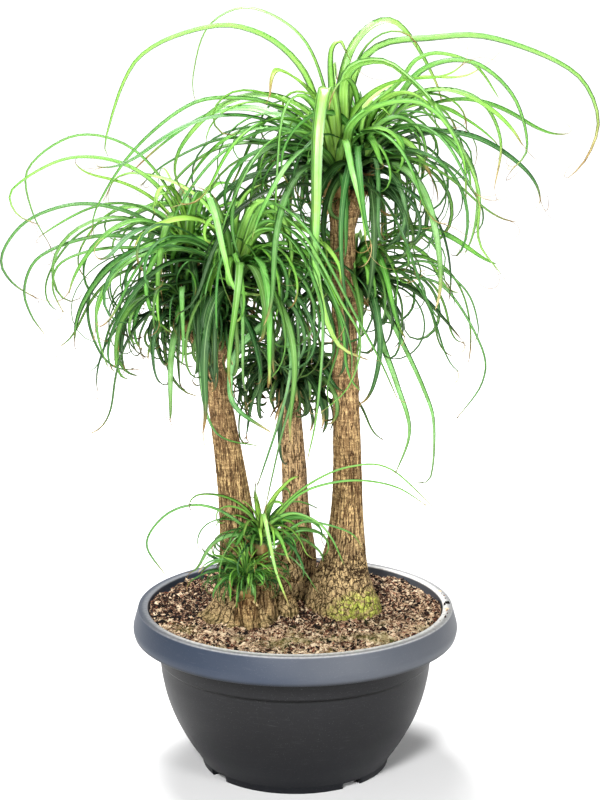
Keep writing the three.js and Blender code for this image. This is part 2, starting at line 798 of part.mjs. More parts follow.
// A leaf stays above the mix and the rim, and under the plant's full height.
function outOfBounds(line) {
  return line.some(({ x, y, z }) => {
    const lowest = Math.hypot(x, y) < 0.85 * RIM_RADIUS ? LOWEST_LEAF : LOWEST_OUTSIDE;
    return z < lowest || z > TALLEST_LEAF;
  });
}

const taken = standingObstacles();

// Tries a leaf until its hull is clear of all others; near its own core it may touch its sisters.
function placeLeaf(owner, lineFor, shapeFor) {
  for (let attempt = 0; attempt < TRIES; attempt++) {
    const shape = shapeFor(attempt);
    const line = lineFor(shape, attempt);
    if (outOfBounds(line)) continue;
    const frames = acrossLine(line, shape.roll, shape.twist ?? 0);
    const hull = hullOf(bladeRings(line, frames, shape.width, LEAF_GAP / 2));
    const free = outside(hull, line[0]);
    const clash = taken.some((other) => hullsMeet(other.owner === owner ? free : hull, other.hull));
    if (!clash) return { rings: bladeRings(line, frames, shape.width, 0), hull };
  }
  return null;
}

// The parts of a hull that lie further from the root than the crowded middle of a head
function outside(hull, root) {
  const far = hull.parts.filter((part) => part.box.distanceToPoint(root) > CROWDED);
  return boxed(far);
}

// The large leaves of all heads have their places first, then the heads take turns, leaf by leaf.
function growHeads() {
  const blades = Object.fromEntries(Object.keys(heads).map((name) => [name, []]));
  const settle = (name, placed) => {
    if (!placed) return;
    blades[name].push(skin(placed.rings));
    taken.push({ owner: name, hull: placed.hull });
  };
  for (const [name, leaves] of Object.entries(largeLeaves)) {
    leaves.forEach((leaf, number) => {
      const lineFor = (shape, attempt) => routeLine(heads[name], shape, number, attempt);
      settle(name, placeLeaf(name, lineFor, () => leaf));
    });
  }
  const rounds = Math.max(...Object.values(heads).map((head) => head.leaves));
  for (let index = 0; index < rounds; index++) {
    for (const [name, head] of Object.entries(heads)) {
      if (index >= head.leaves) continue;
      const shapeFor = (attempt) => drawLeaf(head, index, attempt);
      settle(name, placeLeaf(name, (shape) => arcLine(head, shape), shapeFor));
    }
  }
  return blades;
}

// The object

addPiece("pot", makePot(), plastic);
let mixSolid = makeMix();
for (const name of Object.keys(trunks)) {
  mixSolid = mixSolid.subtract(trunkSolid(name, HOLE_GAP));
  addPiece(`trunk_${name}`, trunkSolid(name, 0), bark);
}
addPiece("mix", mainBody(mixSolid), pottingMix);
for (const [name, blades] of Object.entries(growHeads())) {
  const core = skin(coreRings(heads[name], 0));
  addPiece(`head_${name}`, mainBody(wasm.Manifold.union([core, ...blades])), leafGreen);
}

export default group;
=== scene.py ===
import math

import bpy
import numpy as np
from mathutils.bvhtree import BVHTree
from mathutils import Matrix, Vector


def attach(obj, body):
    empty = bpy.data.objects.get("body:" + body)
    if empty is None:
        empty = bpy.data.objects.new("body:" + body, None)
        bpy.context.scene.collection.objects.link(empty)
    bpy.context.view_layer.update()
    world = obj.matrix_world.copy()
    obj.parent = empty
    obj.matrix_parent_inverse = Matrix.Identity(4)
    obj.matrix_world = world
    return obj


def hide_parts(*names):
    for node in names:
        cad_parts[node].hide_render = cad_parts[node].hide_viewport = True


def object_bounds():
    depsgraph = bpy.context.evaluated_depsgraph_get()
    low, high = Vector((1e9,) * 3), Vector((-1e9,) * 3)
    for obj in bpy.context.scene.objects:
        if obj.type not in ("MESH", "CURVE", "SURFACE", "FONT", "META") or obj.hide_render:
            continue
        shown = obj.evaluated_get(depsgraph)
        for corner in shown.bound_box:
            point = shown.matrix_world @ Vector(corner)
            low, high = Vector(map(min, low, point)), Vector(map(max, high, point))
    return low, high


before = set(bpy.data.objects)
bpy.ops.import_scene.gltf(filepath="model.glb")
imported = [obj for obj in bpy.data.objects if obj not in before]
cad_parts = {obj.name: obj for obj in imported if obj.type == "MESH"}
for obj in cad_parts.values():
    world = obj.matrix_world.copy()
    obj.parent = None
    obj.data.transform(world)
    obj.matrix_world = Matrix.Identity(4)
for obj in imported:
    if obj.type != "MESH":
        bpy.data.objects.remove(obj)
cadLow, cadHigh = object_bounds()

# Potted ponytail palm: smooth bowl, mulch, barked trunks and ten heads of strap leaves, built
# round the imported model. Lengths are in millimetres if nothing else is said, and mm turns them to
# metres.

mm = 0.001


# Camera

camera = {
    "imageAcross": 600,  # pixels
    "imageDown": 800,
    "distance": 2400,  # in front of the pot's axis
    "height": 1000,
    "down": 11.8,  # degrees below the horizon
    "focal": 2039,  # pixels
    "axisAcross": 295.3,  # pixel column of the pot's axis
    "axisDown": 367,  # pixel row that the optical axis goes through
    "sensor": 36,  # along the image's longer side
}


def newObject(name, data):
    # an object in the scene, at the origin
    obj = bpy.data.objects.new(name, data)
    bpy.context.scene.collection.objects.link(obj)
    return obj


def makeCamera():
    # stands in front and looks down a little, with the lens shifted to the pot's place in the image
    tall = camera["imageDown"]
    data = bpy.data.cameras.new("camera")
    data.sensor_width = camera["sensor"]
    data.lens = camera["focal"] / tall * camera["sensor"]
    data.shift_x = (camera["imageAcross"] / 2 - camera["axisAcross"]) / tall
    data.shift_y = (camera["axisDown"] - tall / 2) / tall
    data.clip_end = 100
    obj = newObject("camera", data)
    obj.location = (0, -camera["distance"] * mm, camera["height"] * mm)
    obj.rotation_euler = (math.radians(90 - camera["down"]), 0, 0)
    bpy.context.scene.camera = obj


makeCamera()
print("camera made")


# Small maths on whole arrays

def clamp01(value):
    # held between 0 and 1
    return np.clip(value, 0.0, 1.0)


def ease(value):
    # smooth step from 0 to 1
    value = clamp01(value)
    return value * value * (3 - 2 * value)


def between(start, end, share):
    # the value at a share of the way from start to end
    return start + (end - start) * share


def unit(vectors):
    # the same directions with length 1
    return vectors / np.maximum(np.linalg.norm(vectors, axis=-1, keepdims=True), 1e-12)


def evenAngles(count):
    # angles round a full turn
    return np.linspace(0, 2 * np.pi, count, endpoint=False)


def circled(x, y, z, radius, angle):
    # points at a radius and an angle round the upright line through x and y, at the height z
    flat = 0 * radius * angle
    return np.stack([x + radius * np.cos(angle), y + radius * np.sin(angle), z + flat], -1)


def lattice(i, j, k, seed):
    # a whole-number hash of three lattice indices and a seed, stirred by large odd numbers, as a
    # number from 0 to 1
    h = (i * 73856093) ^ (j * 19349663) ^ (k * 83492791) ^ (seed * 362437)
    h = ((h ^ (h >> 13)) * 1274126177) & 0xFFFFFFFF
    h = ((h ^ (h >> 15)) * 668265263) & 0xFFFFFFFF
    return (h ^ (h >> 16)) / 0xFFFFFFFF


def noise(points, seed):
    # smooth value noise from -1 to 1: lattice values blended over the eight corners of a unit cube
    cell = np.floor(points).astype(np.int64)
    part = points - cell
    part = part * part * (3 - 2 * part)
    total = 0
    for corner in range(8):
        step = np.array([corner & 1, (corner >> 1) & 1, corner >> 2])
        share = np.prod(np.where(step == 1, part, 1 - part), axis=-1)
        i, j, k = np.moveaxis(cell + step, -1, 0)
        total = total + share * lattice(i, j, k, seed)
    return 2 * total - 1


def layered(points, seed, layers=3):
    # noise in octaves, each twice as fine and half as strong
    return sum(noise(points * 2**n, seed + n) / 2**n for n in range(layers))


def cracks(points, seed):
    # 0 on the borders between scattered cells, up to about 1 inside them: the distance to the
    # second nearest of the cells' middles, less the distance to the nearest
    cell = np.floor(points).astype(np.int64)
    nearest = np.full(points.shape[:-1], 9.0)
    second = np.full(points.shape[:-1], 9.0)
    for corner in range(27):
        step = np.array([corner % 3, corner // 3 % 3, corner // 9]) - 1
        i, j, k = np.moveaxis(cell + step, -1, 0)
        spot = np.stack([lattice(i, j, k, seed + n) for n in range(3)], -1) + cell + step
        away = np.linalg.norm(spot - points, axis=-1)
        second = np.where(away < nearest, nearest, np.minimum(second, away))
        nearest = np.minimum(nearest, away)
    return second - nearest


# Meshes

def makeMesh(name, vertices, quads, triangles=(), smooth=True, **attributes):
    # a mesh object at the origin from arrays in millimetres, with a float attribute per vertex
    quads = np.asarray(quads, np.int32).reshape(-1, 4)
    triangles = np.asarray(triangles, np.int32).reshape(-1, 3)
    mesh = bpy.data.meshes.new(name)
    mesh.vertices.add(len(vertices))
    mesh.vertices.foreach_set("co", (np.asarray(vertices) * mm).astype(np.float32).ravel())
    mesh.loops.add(quads.size + triangles.size)
    mesh.loops.foreach_set("vertex_index", np.concatenate([quads.ravel(), triangles.ravel()]))
    sizes = np.concatenate([np.full(len(quads), 4), np.full(len(triangles), 3)])
    mesh.polygons.add(len(sizes))
    starts = np.concatenate([[0], np.cumsum(sizes)[:-1]])
    mesh.polygons.foreach_set("loop_start", starts.astype(np.int32))
    mesh.polygons.foreach_set("use_smooth", np.full(len(sizes), smooth))
    mesh.update(calc_edges=True)
    for key, values in attributes.items():
        layer = mesh.attributes.new(key, "FLOAT", "POINT")
        layer.data.foreach_set("value", np.asarray(values, np.float32).ravel())
    return newObject(name, mesh)


def tubeFaces(rings, sides, count=1):
    # quads over closed rings, ring after ring, and fans over the two ends, for count equal tubes
    k, i = np.meshgrid(np.arange(rings - 1), np.arange(sides), indexing="ij")
    j = (i + 1) % sides
    quads = np.stack([k * sides + i, k * sides + j, (k + 1) * sides + j, (k + 1) * sides + i], -1)
    inner = np.arange(1, sides - 1)
    top = (rings - 1) * sides
    low = np.stack([np.zeros_like(inner), inner + 1, inner], -1)
    high = np.stack([np.zeros_like(inner) + top, inner + top, inner + 1 + top], -1)
    fans = np.concatenate([low, high])
    shift = np.arange(count)[:, None, None] * rings * sides
    return (quads.reshape(1, -1, 4) + shift).reshape(-1, 4), (fans[None] + shift).reshape(-1, 3)


def joined(parts):
    # one mesh's arrays out of several (vertices, quads, triangles, attributes)
    offset = np.cumsum([0] + [len(part[0]) for part in parts])
    vertices = np.concatenate([part[0] for part in parts])
    quads = np.concatenate([np.reshape(p[1], (-1, 4)) + o for p, o in zip(parts, offset)])
    triangles = np.concatenate([np.reshape(p[2], (-1, 3)) + o for p, o in zip(parts, offset)])
    names = parts[0][3].keys()
    attributes = {n: np.concatenate([np.ravel(part[3][n]) for part in parts]) for n in names}
    return vertices, quads, triangles, attributes


def dress(obj, material, slot, *nodes):
    # gives a piece its finish and its body, and hides the imported nodes that it stands for
    obj.data.materials.append(material)
    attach(obj, "root")
    if nodes:
        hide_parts(*nodes)
    return obj


# Shader helper

class Socket:
    # wraps an output socket, so that maths on values reads as plain expressions

    def __init__(self, tree, link):
        self.tree = tree
        self.link = link

    def math(self, operation, *others):
        # a Math node on this value and the others
        sockets = dict(enumerate((self, *others)))
        return self.tree.node("Math", {"operation": operation}, sockets)

    def __add__(self, other):
        return self.math("ADD", other)

    def __sub__(self, other):
        return self.math("SUBTRACT", other)

    def __rsub__(self, other):
        return self.tree.node("Math", {"operation": "SUBTRACT"}, {0: other, 1: self})

    def __mul__(self, other):
        return self.math("MULTIPLY", other)

    def __abs__(self):
        return self.math("ABSOLUTE")

    __radd__ = __add__
    __rmul__ = __mul__

    def step(self, low, high):
        # rises smoothly from 0 to 1 as the value goes from low to high
        sockets = {"Value": self, "From Min": low, "From Max": high}
        return self.tree.node("MapRange", {"interpolation_type": "SMOOTHSTEP"}, sockets)


def setStops(elements, stops):
    # a ramp's stops from {position: colour}
    while len(elements) < len(stops):
        elements.new(0.5)
    for element, place in zip(elements, sorted(stops)):
        element.position = place
        element.color = (*stops[place], 1)


class Finish:
    # a material with its node tree, in which lengths are in metres

    def __init__(self, name):
        self.material = bpy.data.materials.new(name)
        self.material.use_nodes = True
        self.nodes = self.material.node_tree.nodes
        self.links = self.material.node_tree.links
        self.nodes.clear()

    def node(self, kind, settings=None, sockets=None, output=0):
        # adds a node of a kind, sets its settings or a ramp's stops, then gives its sockets, by
        # name or place, values or links
        made = self.nodes.new("ShaderNode" + kind)
        for key, value in (settings or {}).items():
            if key == "stops":
                setStops(made.color_ramp.elements, value)
            else:
                setattr(made, key, value)
        for place, value in (sockets or {}).items():
            socket = made.inputs[place]
            if isinstance(value, Socket):
                self.links.new(value.link, socket)
            elif socket.type == "RGBA":
                socket.default_value = (*value, 1)
            else:
                socket.default_value = value
        return Socket(self, made.outputs[output]) if len(made.outputs) else None

    def place(self, stretch=(1, 1, 1)):
        # Object coordinates, in metres
        here = self.node("TexCoord", output="Object")
        return self.node("Mapping", {"vector_type": "POINT"}, {"Vector": here, "Scale": stretch})

    def axes(self, count=3):
        # the coordinates x, y and z, or the first of them
        return [self.node("SeparateXYZ", {}, {0: self.place()}, n) for n in range(count)]

    def attribute(self, name):
        # a value that the mesh carries
        return self.node("Attribute", {"attribute_name": name}, output="Fac")

    def noise(self, scale, stretch=(1, 1, 1), detail=3.0, roughness=0.55):
        # cloudy values from 0 to 1, of scale waves a metre
        sockets = {"Scale": scale, "Detail": detail, "Roughness": roughness}
        return self.node("TexNoise", {}, {"Vector": self.place(stretch), **sockets})

    def crack(self, scale, stretch=(1, 1, 1), sway=0.002):
        # distance to the borders of scattered cells, which wander with a noise
        here = self.place(stretch)
        sockets = {"Vector": here, "Scale": scale * 0.6, "Detail": 2.0}
        bend = self.node("TexNoise", {}, sockets, "Color")
        sockets = {0: bend, 1: (sway, sway, sway), 2: here}
        moved = self.node("VectorMath", {"operation": "MULTIPLY_ADD"}, sockets)
        sockets = {"Vector": moved, "Scale": scale}
        return self.node("TexVoronoi", {"feature": "DISTANCE_TO_EDGE"}, sockets)

    def ramp(self, value, stops):
        # a colour for each value, by stops of {value: colour}
        return self.node("ValToRGB", {"stops": stops}, {0: value})

    def blend(self, share, first, second):
        # mixes two colours
        return self.node("Mix", {"data_type": "RGBA"}, {0: share, 6: first, 7: second}, 2)

    def painted(self, colour, *coats):
        # lays coats of (share, colour) over a colour, one after the other
        for share, other in coats:
            colour = self.blend(share, colour, other)
        return colour

    def surface(self, colour, roughness, height=None, rise=0.001, strength=1.0, others=None):
        # the Principled shader, with a bump from height, whose full range is rise metres
        sockets = {"Base Color": colour, "Roughness": roughness, **(others or {})}
        if height is not None:
            bump = {"Height": height, "Distance": rise, "Strength": strength}
            sockets["Normal"] = self.node("Bump", {}, bump)
        shader = self.node("BsdfPrincipled", {}, sockets)
        self.node("OutputMaterial", {}, {"Surface": shader})
        return self.material


# Pot

pot = {
    "rimRadius": 200,
    "rimTop": 201,
    "skirtFoot": 166.5,
    "lipRadius": 181.6,
    "mouthRadius": 182.5,  # of the wall, just under the lip
    "neckRadius": 172.5,  # of the wall, beside the skirt's foot
    "ledgeRadius": 169.5,  # of the wall, where it has stepped out
    "stepHeight": 138,
    "wall": 3,
    "footRadius": 115,
    "footWidth": 7,
    "underside": 6,
    "padRadius": 18,
    "floorTop": 11,
    "notchAngles": (-53.5, 36.5, 126.5, 216.5),
    "notchWidth": 27,
    "notchTop": 7,
    "drainRing": 88,  # the drain holes lie this far from the axis, in line with the notches
    "drainRadius": 6,
    "sides": 168,
    "wallCorners": (  # from the foot to the step, as (radius, height, rounding)
        (117, 9, 1), (134.5, 35, 12), (150, 64, 12), (160, 92, 12), (165.2, 118, 12),
        (167, 136.4, 0.8),
    ),
}


def roundedProfile(corners):
    # a profile from (radius, height, rounding): each corner is cut back and given a small curve
    corners = np.array(corners, float)
    before = np.roll(corners, 1, axis=0)
    after = np.roll(corners, -1, axis=0)
    points = []
    for last, here, following in zip(before, corners, after):
        toLast = last[:2] - here[:2]
        toNext = following[:2] - here[:2]
        cut = min(here[2], 0.45 * np.linalg.norm(toLast), 0.45 * np.linalg.norm(toNext))
        if cut <= 0.01:
            points.append(here[:2])
            continue
        first = here[:2] + unit(toLast) * cut
        third = here[:2] + unit(toNext) * cut
        for t in (0, 0.25, 0.5, 0.75, 1):
            points.append((1 - t) ** 2 * first + 2 * t * (1 - t) * here[:2] + t * t * third)
    return np.array(points)


def potProfile():
    # the bowl's section from the middle of the underside, out, up, over the rim and down inside,
    # as (radius, height, rounding)
    thick = pot["wall"]
    axis = 0.01
    pad = pot["padRadius"]
    under = pot["underside"]
    foot = pot["footRadius"]
    hollow = foot - pot["footWidth"]
    neck = pot["neckRadius"]
    mouth = pot["mouthRadius"]
    lip = pot["lipRadius"]
    rim = pot["rimRadius"]
    top = pot["rimTop"]
    skirt = pot["skirtFoot"]
    inside = [(r - thick, z + 1.5, 12) for r, z, _ in pot["wallCorners"][:0:-1]]
    return roundedProfile([
        (axis, 0, 0),
        (pad, 0, 0.6),
        (pad + 2, under, 1),
        (hollow - 2, under, 1),
        (hollow, 0, 0.8),
        (foot, 0, 1.2),
        *pot["wallCorners"],
        (pot["ledgeRadius"], pot["stepHeight"] + 1, 0.8),
        (neck, skirt, 8),
        (mouth, top - 12, 5),
        (lip + thick, top - thick, 1.5),
        (rim - 9.5, top - thick, 2),
        (rim - 4, skirt + 11, 6),
        (rim - 5.5, skirt, 0.8),
        (rim - 2.5, skirt, 1.2),
        (rim, skirt + 9, 7),
        (rim - 7, top, 1.2),
        (lip, top, 1.4),
        (mouth - thick, top - 10.5, 5),
        (neck - thick, skirt + 1.5, 8),
        *inside,
        (pot["wallCorners"][0][0] - thick, pot["floorTop"], 3),
        (axis, pot["floorTop"], 0),
    ])


def notched(height, radius, angle):
    # the foot ring is lifted to the notches' top between their two sides
    foot = pot["footRadius"]
    inRing = (radius > foot - pot["footWidth"] - 3) & (radius < foot + 3)
    inRing &= height < pot["notchTop"]
    half = pot["notchWidth"] / 2 / foot
    cut = np.zeros_like(angle, bool)
    for place in np.radians(pot["notchAngles"]):
        gap = np.abs((angle - place + np.pi) % (2 * np.pi) - np.pi)
        cut |= gap < half
    return np.where(inRing & cut, pot["notchTop"], height)


def makePot():
    # the profile turned round the axis; the columns crowd at the sides of the notches
    profile = potProfile()
    even = np.linspace(-np.pi, np.pi, pot["sides"], endpoint=False)
    half = pot["notchWidth"] / 2 / pot["footRadius"]
    sides = np.radians(pot["notchAngles"])[:, None] + np.array([-half, half])
    beside = 0.0015  # radians
    crowd = (sides.ravel()[:, None] + np.array([-beside, beside])).ravel()
    crowd = (crowd + np.pi) % (2 * np.pi) - np.pi
    angle = np.sort(np.concatenate([even, crowd]))
    radius, a = np.meshgrid(profile[:, 0], angle, indexing="ij")
    height = np.meshgrid(profile[:, 1], angle, indexing="ij")[0]
    height = notched(height, radius, a)
    vertices = circled(0, 0, height, radius, a).reshape(-1, 3)
    quads, fans = tubeFaces(len(profile), len(angle))
    return makeMesh("bowl", vertices, quads, fans)


def drained(bowl):
    # four round holes through the floor: upright rods, circles at two heights, are taken away
    turn = evenAngles(24)
    rods = []
    for angle in np.radians(pot["notchAngles"]):
        x = pot["drainRing"] * math.cos(angle)
        y = pot["drainRing"] * math.sin(angle)
        circle = circled(x, y, 0, pot["drainRadius"], turn)
        quads, fans = tubeFaces(2, len(turn))
        above = circle + [0, 0, 2 * pot["floorTop"]]
        rods.append((np.concatenate([circle, above]), quads, fans, {}))
    vertices, quads, fans, _ = joined(rods)
    cutter = makeMesh("drain_rods", vertices, quads, fans)
    cut = bowl.modifiers.new("drain holes", "BOOLEAN")
    cut.object = cutter
    cut.operation = "DIFFERENCE"
    cut.solver = "EXACT"
    evaluated = bowl.evaluated_get(bpy.context.evaluated_depsgraph_get())
    finished = bpy.data.meshes.new_from_object(evaluated)
    bowl.modifiers.clear()
    bowl.data = finished
    bpy.data.objects.remove(cutter)
    return bowl


potColours = {
    "bodyDark": (0.011, 0.011, 0.012),
    "bodyLight": (0.019, 0.019, 0.021),
    "low": (0.005, 0.006, 0.009),
    "groove": (0.003, 0.003, 0.003),
    "rimDark": (0.030, 0.042, 0.066),
    "rimLight": (0.050, 0.062, 0.088),
    "rimLitRight": (0.115, 0.118, 0.125),
    "dustAndHighlight": {0.3: (0.62, 0.61, 0.60), 0.6: (0.94, 0.92, 0.89)},
    "speck": (0.3, 0.3, 0.3),
    "scuff": (0.35, 0.35, 0.36),
}


def potPlastic():
    # cloudy dark plastic, with painted shade that darkens it towards the bottom and in a line under the
    # step, a rim painted lighter and lighter still to the right as painted light, and pale dust on the lip
    # that is brightened into a painted highlight on its sunny side
    f = Finish("anthracitePlastic")
    colours = potColours
    x, y, z = f.axes()
    cloudy = f.noise(7, detail=4.0)
    specks = f.noise(800, detail=1.0).step(0.68, 0.74)
    scuffs = f.noise(60, (1, 1, 14), detail=5.0).step(0.6, 0.72)
    rim = z.step((pot["skirtFoot"] - 1.5) * mm, (pot["skirtFoot"] + 5.5) * mm)
    # painted shade: a thin dark line under the step, where its ledge faces down
    stepShade = abs(z - (pot["stepHeight"] - 0.6) * mm).step(0.0035, 0.0006)
    body = f.painted(
        f.blend(cloudy, colours["bodyDark"], colours["bodyLight"]),
        # painted shade: the body darker towards the bottom
        (z.step(0.09, 0.0) * 0.9, colours["low"]),
        (stepShade * 0.85, colours["groove"]),
    )
    # painted light: the rim lighter and bluer than the body, and lighter still to the right
    edge = f.blend(cloudy, colours["rimDark"], colours["rimLight"])
    edge = f.blend((x + 0.25 * cloudy).step(0.0, 0.28) * 0.6, edge, colours["rimLitRight"])
    # pale dust on the lip, made brighter on its sunny side as a painted highlight
    dustyAndLit = z.step((pot["rimTop"] - 2.5) * mm, (pot["rimTop"] - 0.4) * mm)
    dustAndHighlight = f.ramp(f.noise(240, detail=4.0), colours["dustAndHighlight"])
    radius = (x * x + y * y).math("SQRT")
    sunny = 0.2 + 0.8 * (x - y).step(-0.16, 0.08)
    inner = 0.35 + 0.65 * radius.step((pot["rimRadius"] - 10) * mm, (pot["lipRadius"] + 2.9) * mm)
    onLip = dustyAndLit * radius.step((pot["lipRadius"] - 2.1) * mm, (pot["lipRadius"] - 0.1) * mm)
    colour = f.painted(
        f.blend(rim, body, edge),
        (onLip * sunny * inner * 0.92, dustAndHighlight),
        (specks * 0.12, colours["speck"]),
        (scuffs * 0.05, colours["scuff"]),
    )
    roughness = 0.38 + 0.16 * cloudy + 0.1 * scuffs
    grain = f.noise(1400, detail=2.0)
    return f.surface(colour, roughness, grain, 0.0002, 0.25, {"Specular IOR Level": 0.27})


dress(drained(makePot()), potPlastic(), "plastic", "pot")
print("bowl made")


# Trunks

# A trunk's or stem's stations are rows of (x, y, height, radius) from below. Lobes are the bulges
# round a swollen foot: their depth as a share of its radius, their number and where the first is.
# A trunk's pale share makes its bark paler: painted light, most on the middle trunk, which stands in the
# others' shade.
trunks = {
    "right": {
        "stations": (
            (58, 16, 125, 24), (61, 16, 186, 46), (60, 16, 205, 43), (58, 16, 228, 35),
            (61, 16, 250, 28), (63, 16, 285, 22.5), (64, 16, 330, 18.5), (63, 15, 400, 16.5),
            (60, 15, 500, 15), (58, 15, 590, 14.4), (56, 15, 678, 14.4),
        ),
        "lobes": 0.05, "lobeCount": 5, "lobeTurn": 40, "seed": 31, "plated": 0.95,
        "pale": 0.1, "columns": 216, "rows": 312,
    },
    "left": {
        "stations": (
            (-66, -14, 125, 24), (-67, -16, 187, 48), (-66, -15, 198, 42), (-65, -14, 212, 34),
            (-65, -13, 228, 28.5), (-67, -11, 258, 24), (-70, -9, 300, 21), (-75, -8, 350, 18.6),
            (-82, -8, 400, 16.2), (-92, -8, 465, 14), (-102, -8, 526, 13.6),
        ),
        "lobes": 0.08, "lobeCount": 6, "lobeTurn": 10, "seed": 47, "plated": 0.15,
        "pale": 0.06, "columns": 208, "rows": 250,
    },
    "middle": {
        "stations": (
            (-10, 64, 125, 18), (-10, 64, 186, 32), (-8, 66, 212, 31), (-2, 69, 240, 26.5),
            (1, 70, 268, 20.5), (0, 70, 310, 16.4), (-2, 70, 360, 15), (-6, 70, 410, 14.2),
            (-8, 70, 442, 14.4),
        ),
        "lobes": 0.05, "lobeCount": 5, "lobeTurn": 75, "seed": 59, "plated": 0.3,
        "pale": 1.0, "columns": 150, "rows": 190,
    },
}

stems = (
    ("right", ((56, 15, 655, 12), (51, 13, 690, 12), (49, 12, 702, 12))),
    ("right", ((57, 16, 645, 9), (69, 22, 690, 10), (79, 25, 714, 11))),
    ("right", ((59, 16, 520, 8), (67, 38, 556, 9), (72, 50, 574, 10))),
    ("left", ((-99, -8, 500, 10), (-85, -15, 548, 11), (-71, -20, 578, 12))),
    ("left", ((-99, -8, 500, 9), (-116, 14, 562, 10), (-128, 30, 602, 11))),
    ("left", ((-98, -8, 495, 8), (-118, -14, 532, 8), (-129, -17, 546, 9))),
    ("left", ((-97, -8, 490, 7), (-86, -28, 522, 7), (-80, -38, 536, 7.5))),
    ("left", ((-18, -8, 150, 15), (-11, -12, 190, 15), (-10, -10, 206, 11), (-12, -8, 214, 5))),
    ("left", ((-34, -24, 150, 20), (-37, -25, 190, 18), (-41, -31, 235, 12.5), (-41, -36, 276, 10))),
    ("left", ((-57, -42, 150, 22), (-58, -48, 186, 19), (-59, -54, 212, 13.5), (-59, -58, 229, 11.5))),
)

soilLevel = 189  # of the mix, round the trunks

# Grooves of the bark: the width round the trunk and the height of what they part, the share of it
# that a groove takes, the depth, and a shift of the seed
grooves = {
    "shaftFissures": {"width": 2.4, "height": 19, "gap": 0.24, "depth": 0.85, "shift": 0},
    "shaftCracks": {"width": 1.9, "height": 4.5, "gap": 0.16, "depth": 0.35, "shift": 11},
    "plates": {"width": 8.5, "height": 10, "gap": 0.10, "depth": 1.8, "shift": 23},
    "smallPlates": {"width": 4.2, "height": 4.2, "gap": 0.09, "depth": 0.3, "shift": 29},
    "footFissures": {"width": 1.9, "height": 21, "gap": 0.26, "depth": 2.0, "shift": 37},
    "footCracks": {"width": 1.3, "height": 5, "gap": 0.2, "depth": 0.7, "shift": 41},
    "wrinkles": {"width": 5.5, "height": 3.6, "gap": 0.16, "depth": 1.5, "shift": 53},
    "rings": {"width": 14, "height": 1.7, "depth": 0.2, "shift": 17},
}

bark = {
    "shaftRadius": 17.5,  # at this radius the grooves' widths are true
    "proud": 0.5,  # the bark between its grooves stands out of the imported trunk
    "folds": 0.045,  # soft folds of a swollen foot, as a share of its radius
    "slack": 0.02,  # unevenness of the whole trunk, as a share of its radius
    "plateTop": 258,  # a plated foot has plates up to here
    "wrinkleHeight": 245,  # and wrinkles about here
    "seam": 0.12,  # radians, over which the grooves fade out where a ring closes
    "lineSamples": 1500,
    "buriedRings": 3,  # of a trunk, under the mix
    "stemSides": 52,
    "stemRings": 56,
}


def smoothThrough(knots, samples):
    # a smooth cubic curve through rows of knots at even steps of the knots' number, straight at the
    # ends
    knots = np.asarray(knots, float)
    padded = np.concatenate([2 * knots[:1] - knots[1:2], knots, 2 * knots[-1:] - knots[-2:-1]])
    place = np.linspace(0, len(knots) - 1, samples)
    k = np.minimum(place.astype(int), len(knots) - 2)
    t = (place - k)[:, None]
    p, q, r, s = padded[k], padded[k + 1], padded[k + 2], padded[k + 3]
    return q + 0.5 * t * (r - p + t * (2 * p - 5 * q + 4 * r - s + t * (3 * (q - r) + s - p)))


def travelledAlong(line):
    # the way along a line to each of its points
    return np.concatenate([[0], np.cumsum(np.linalg.norm(np.diff(line, axis=0), axis=1))])


def wavyLines(points, seed):
    # 0 on the wavy lines where a noise passes through zero
    return np.abs(layered(points, seed, 2))


def barkRelief(around, height, swell, seed, plated, points):
    # Depth of the bark's grooves in millimetres, and how deep each place lies from 0 to 1. On the
    # shaft, grooves are short and upright, with fine rings between them; on the swollen foot they
    # part it into plates or run on as long folds. Around is measured at the shaft's width, so the
    # folds widen with the foot.
    wander = layered(points / 14, seed + 3, 2)
    flat = around * 0 + seed

    def cut(pattern, kind, place):
        return kind["depth"] * (1 - ease(pattern(place, seed + kind["shift"]) / kind["gap"]))

    def upright(pattern, name, sway=0.5):
        kind = grooves[name]
        place = [around / kind["width"] + wander * sway, height / kind["height"], flat]
        return cut(pattern, kind, np.stack(place, -1))

    def plates(name):
        kind = grooves[name]
        size = np.array([kind["width"], kind["width"], kind["height"]])
        return cut(cracks, kind, points / size + wander[..., None] * 0.35)

    ring = grooves["rings"]
    ringPlace = np.stack([around / ring["width"], height / ring["height"], flat], -1)
    rings = ring["depth"] * layered(ringPlace, seed + ring["shift"], 2)
    onShaft = upright(wavyLines, "shaftFissures") + upright(cracks, "shaftCracks") + rings
    plate = plates("plates") + plates("smallPlates")
    ridge = upright(wavyLines, "footFissures") + upright(cracks, "footCracks")
    bent = plated * clamp01(1.2 - np.abs(height - bark["wrinkleHeight"]) / 18)
    low = 0.7 * plated * ease((bark["plateTop"] - height + 14 * wander) / 16)
    onFoot = between(ridge, plate, low) + bent * upright(cracks, "wrinkles", 0.3) + 0.3 * wander
    foot = ease(swell * 1.5)
    depth = between(onShaft, onFoot, foot)
    return depth, clamp01(depth / between(0.75, 1.7, foot))


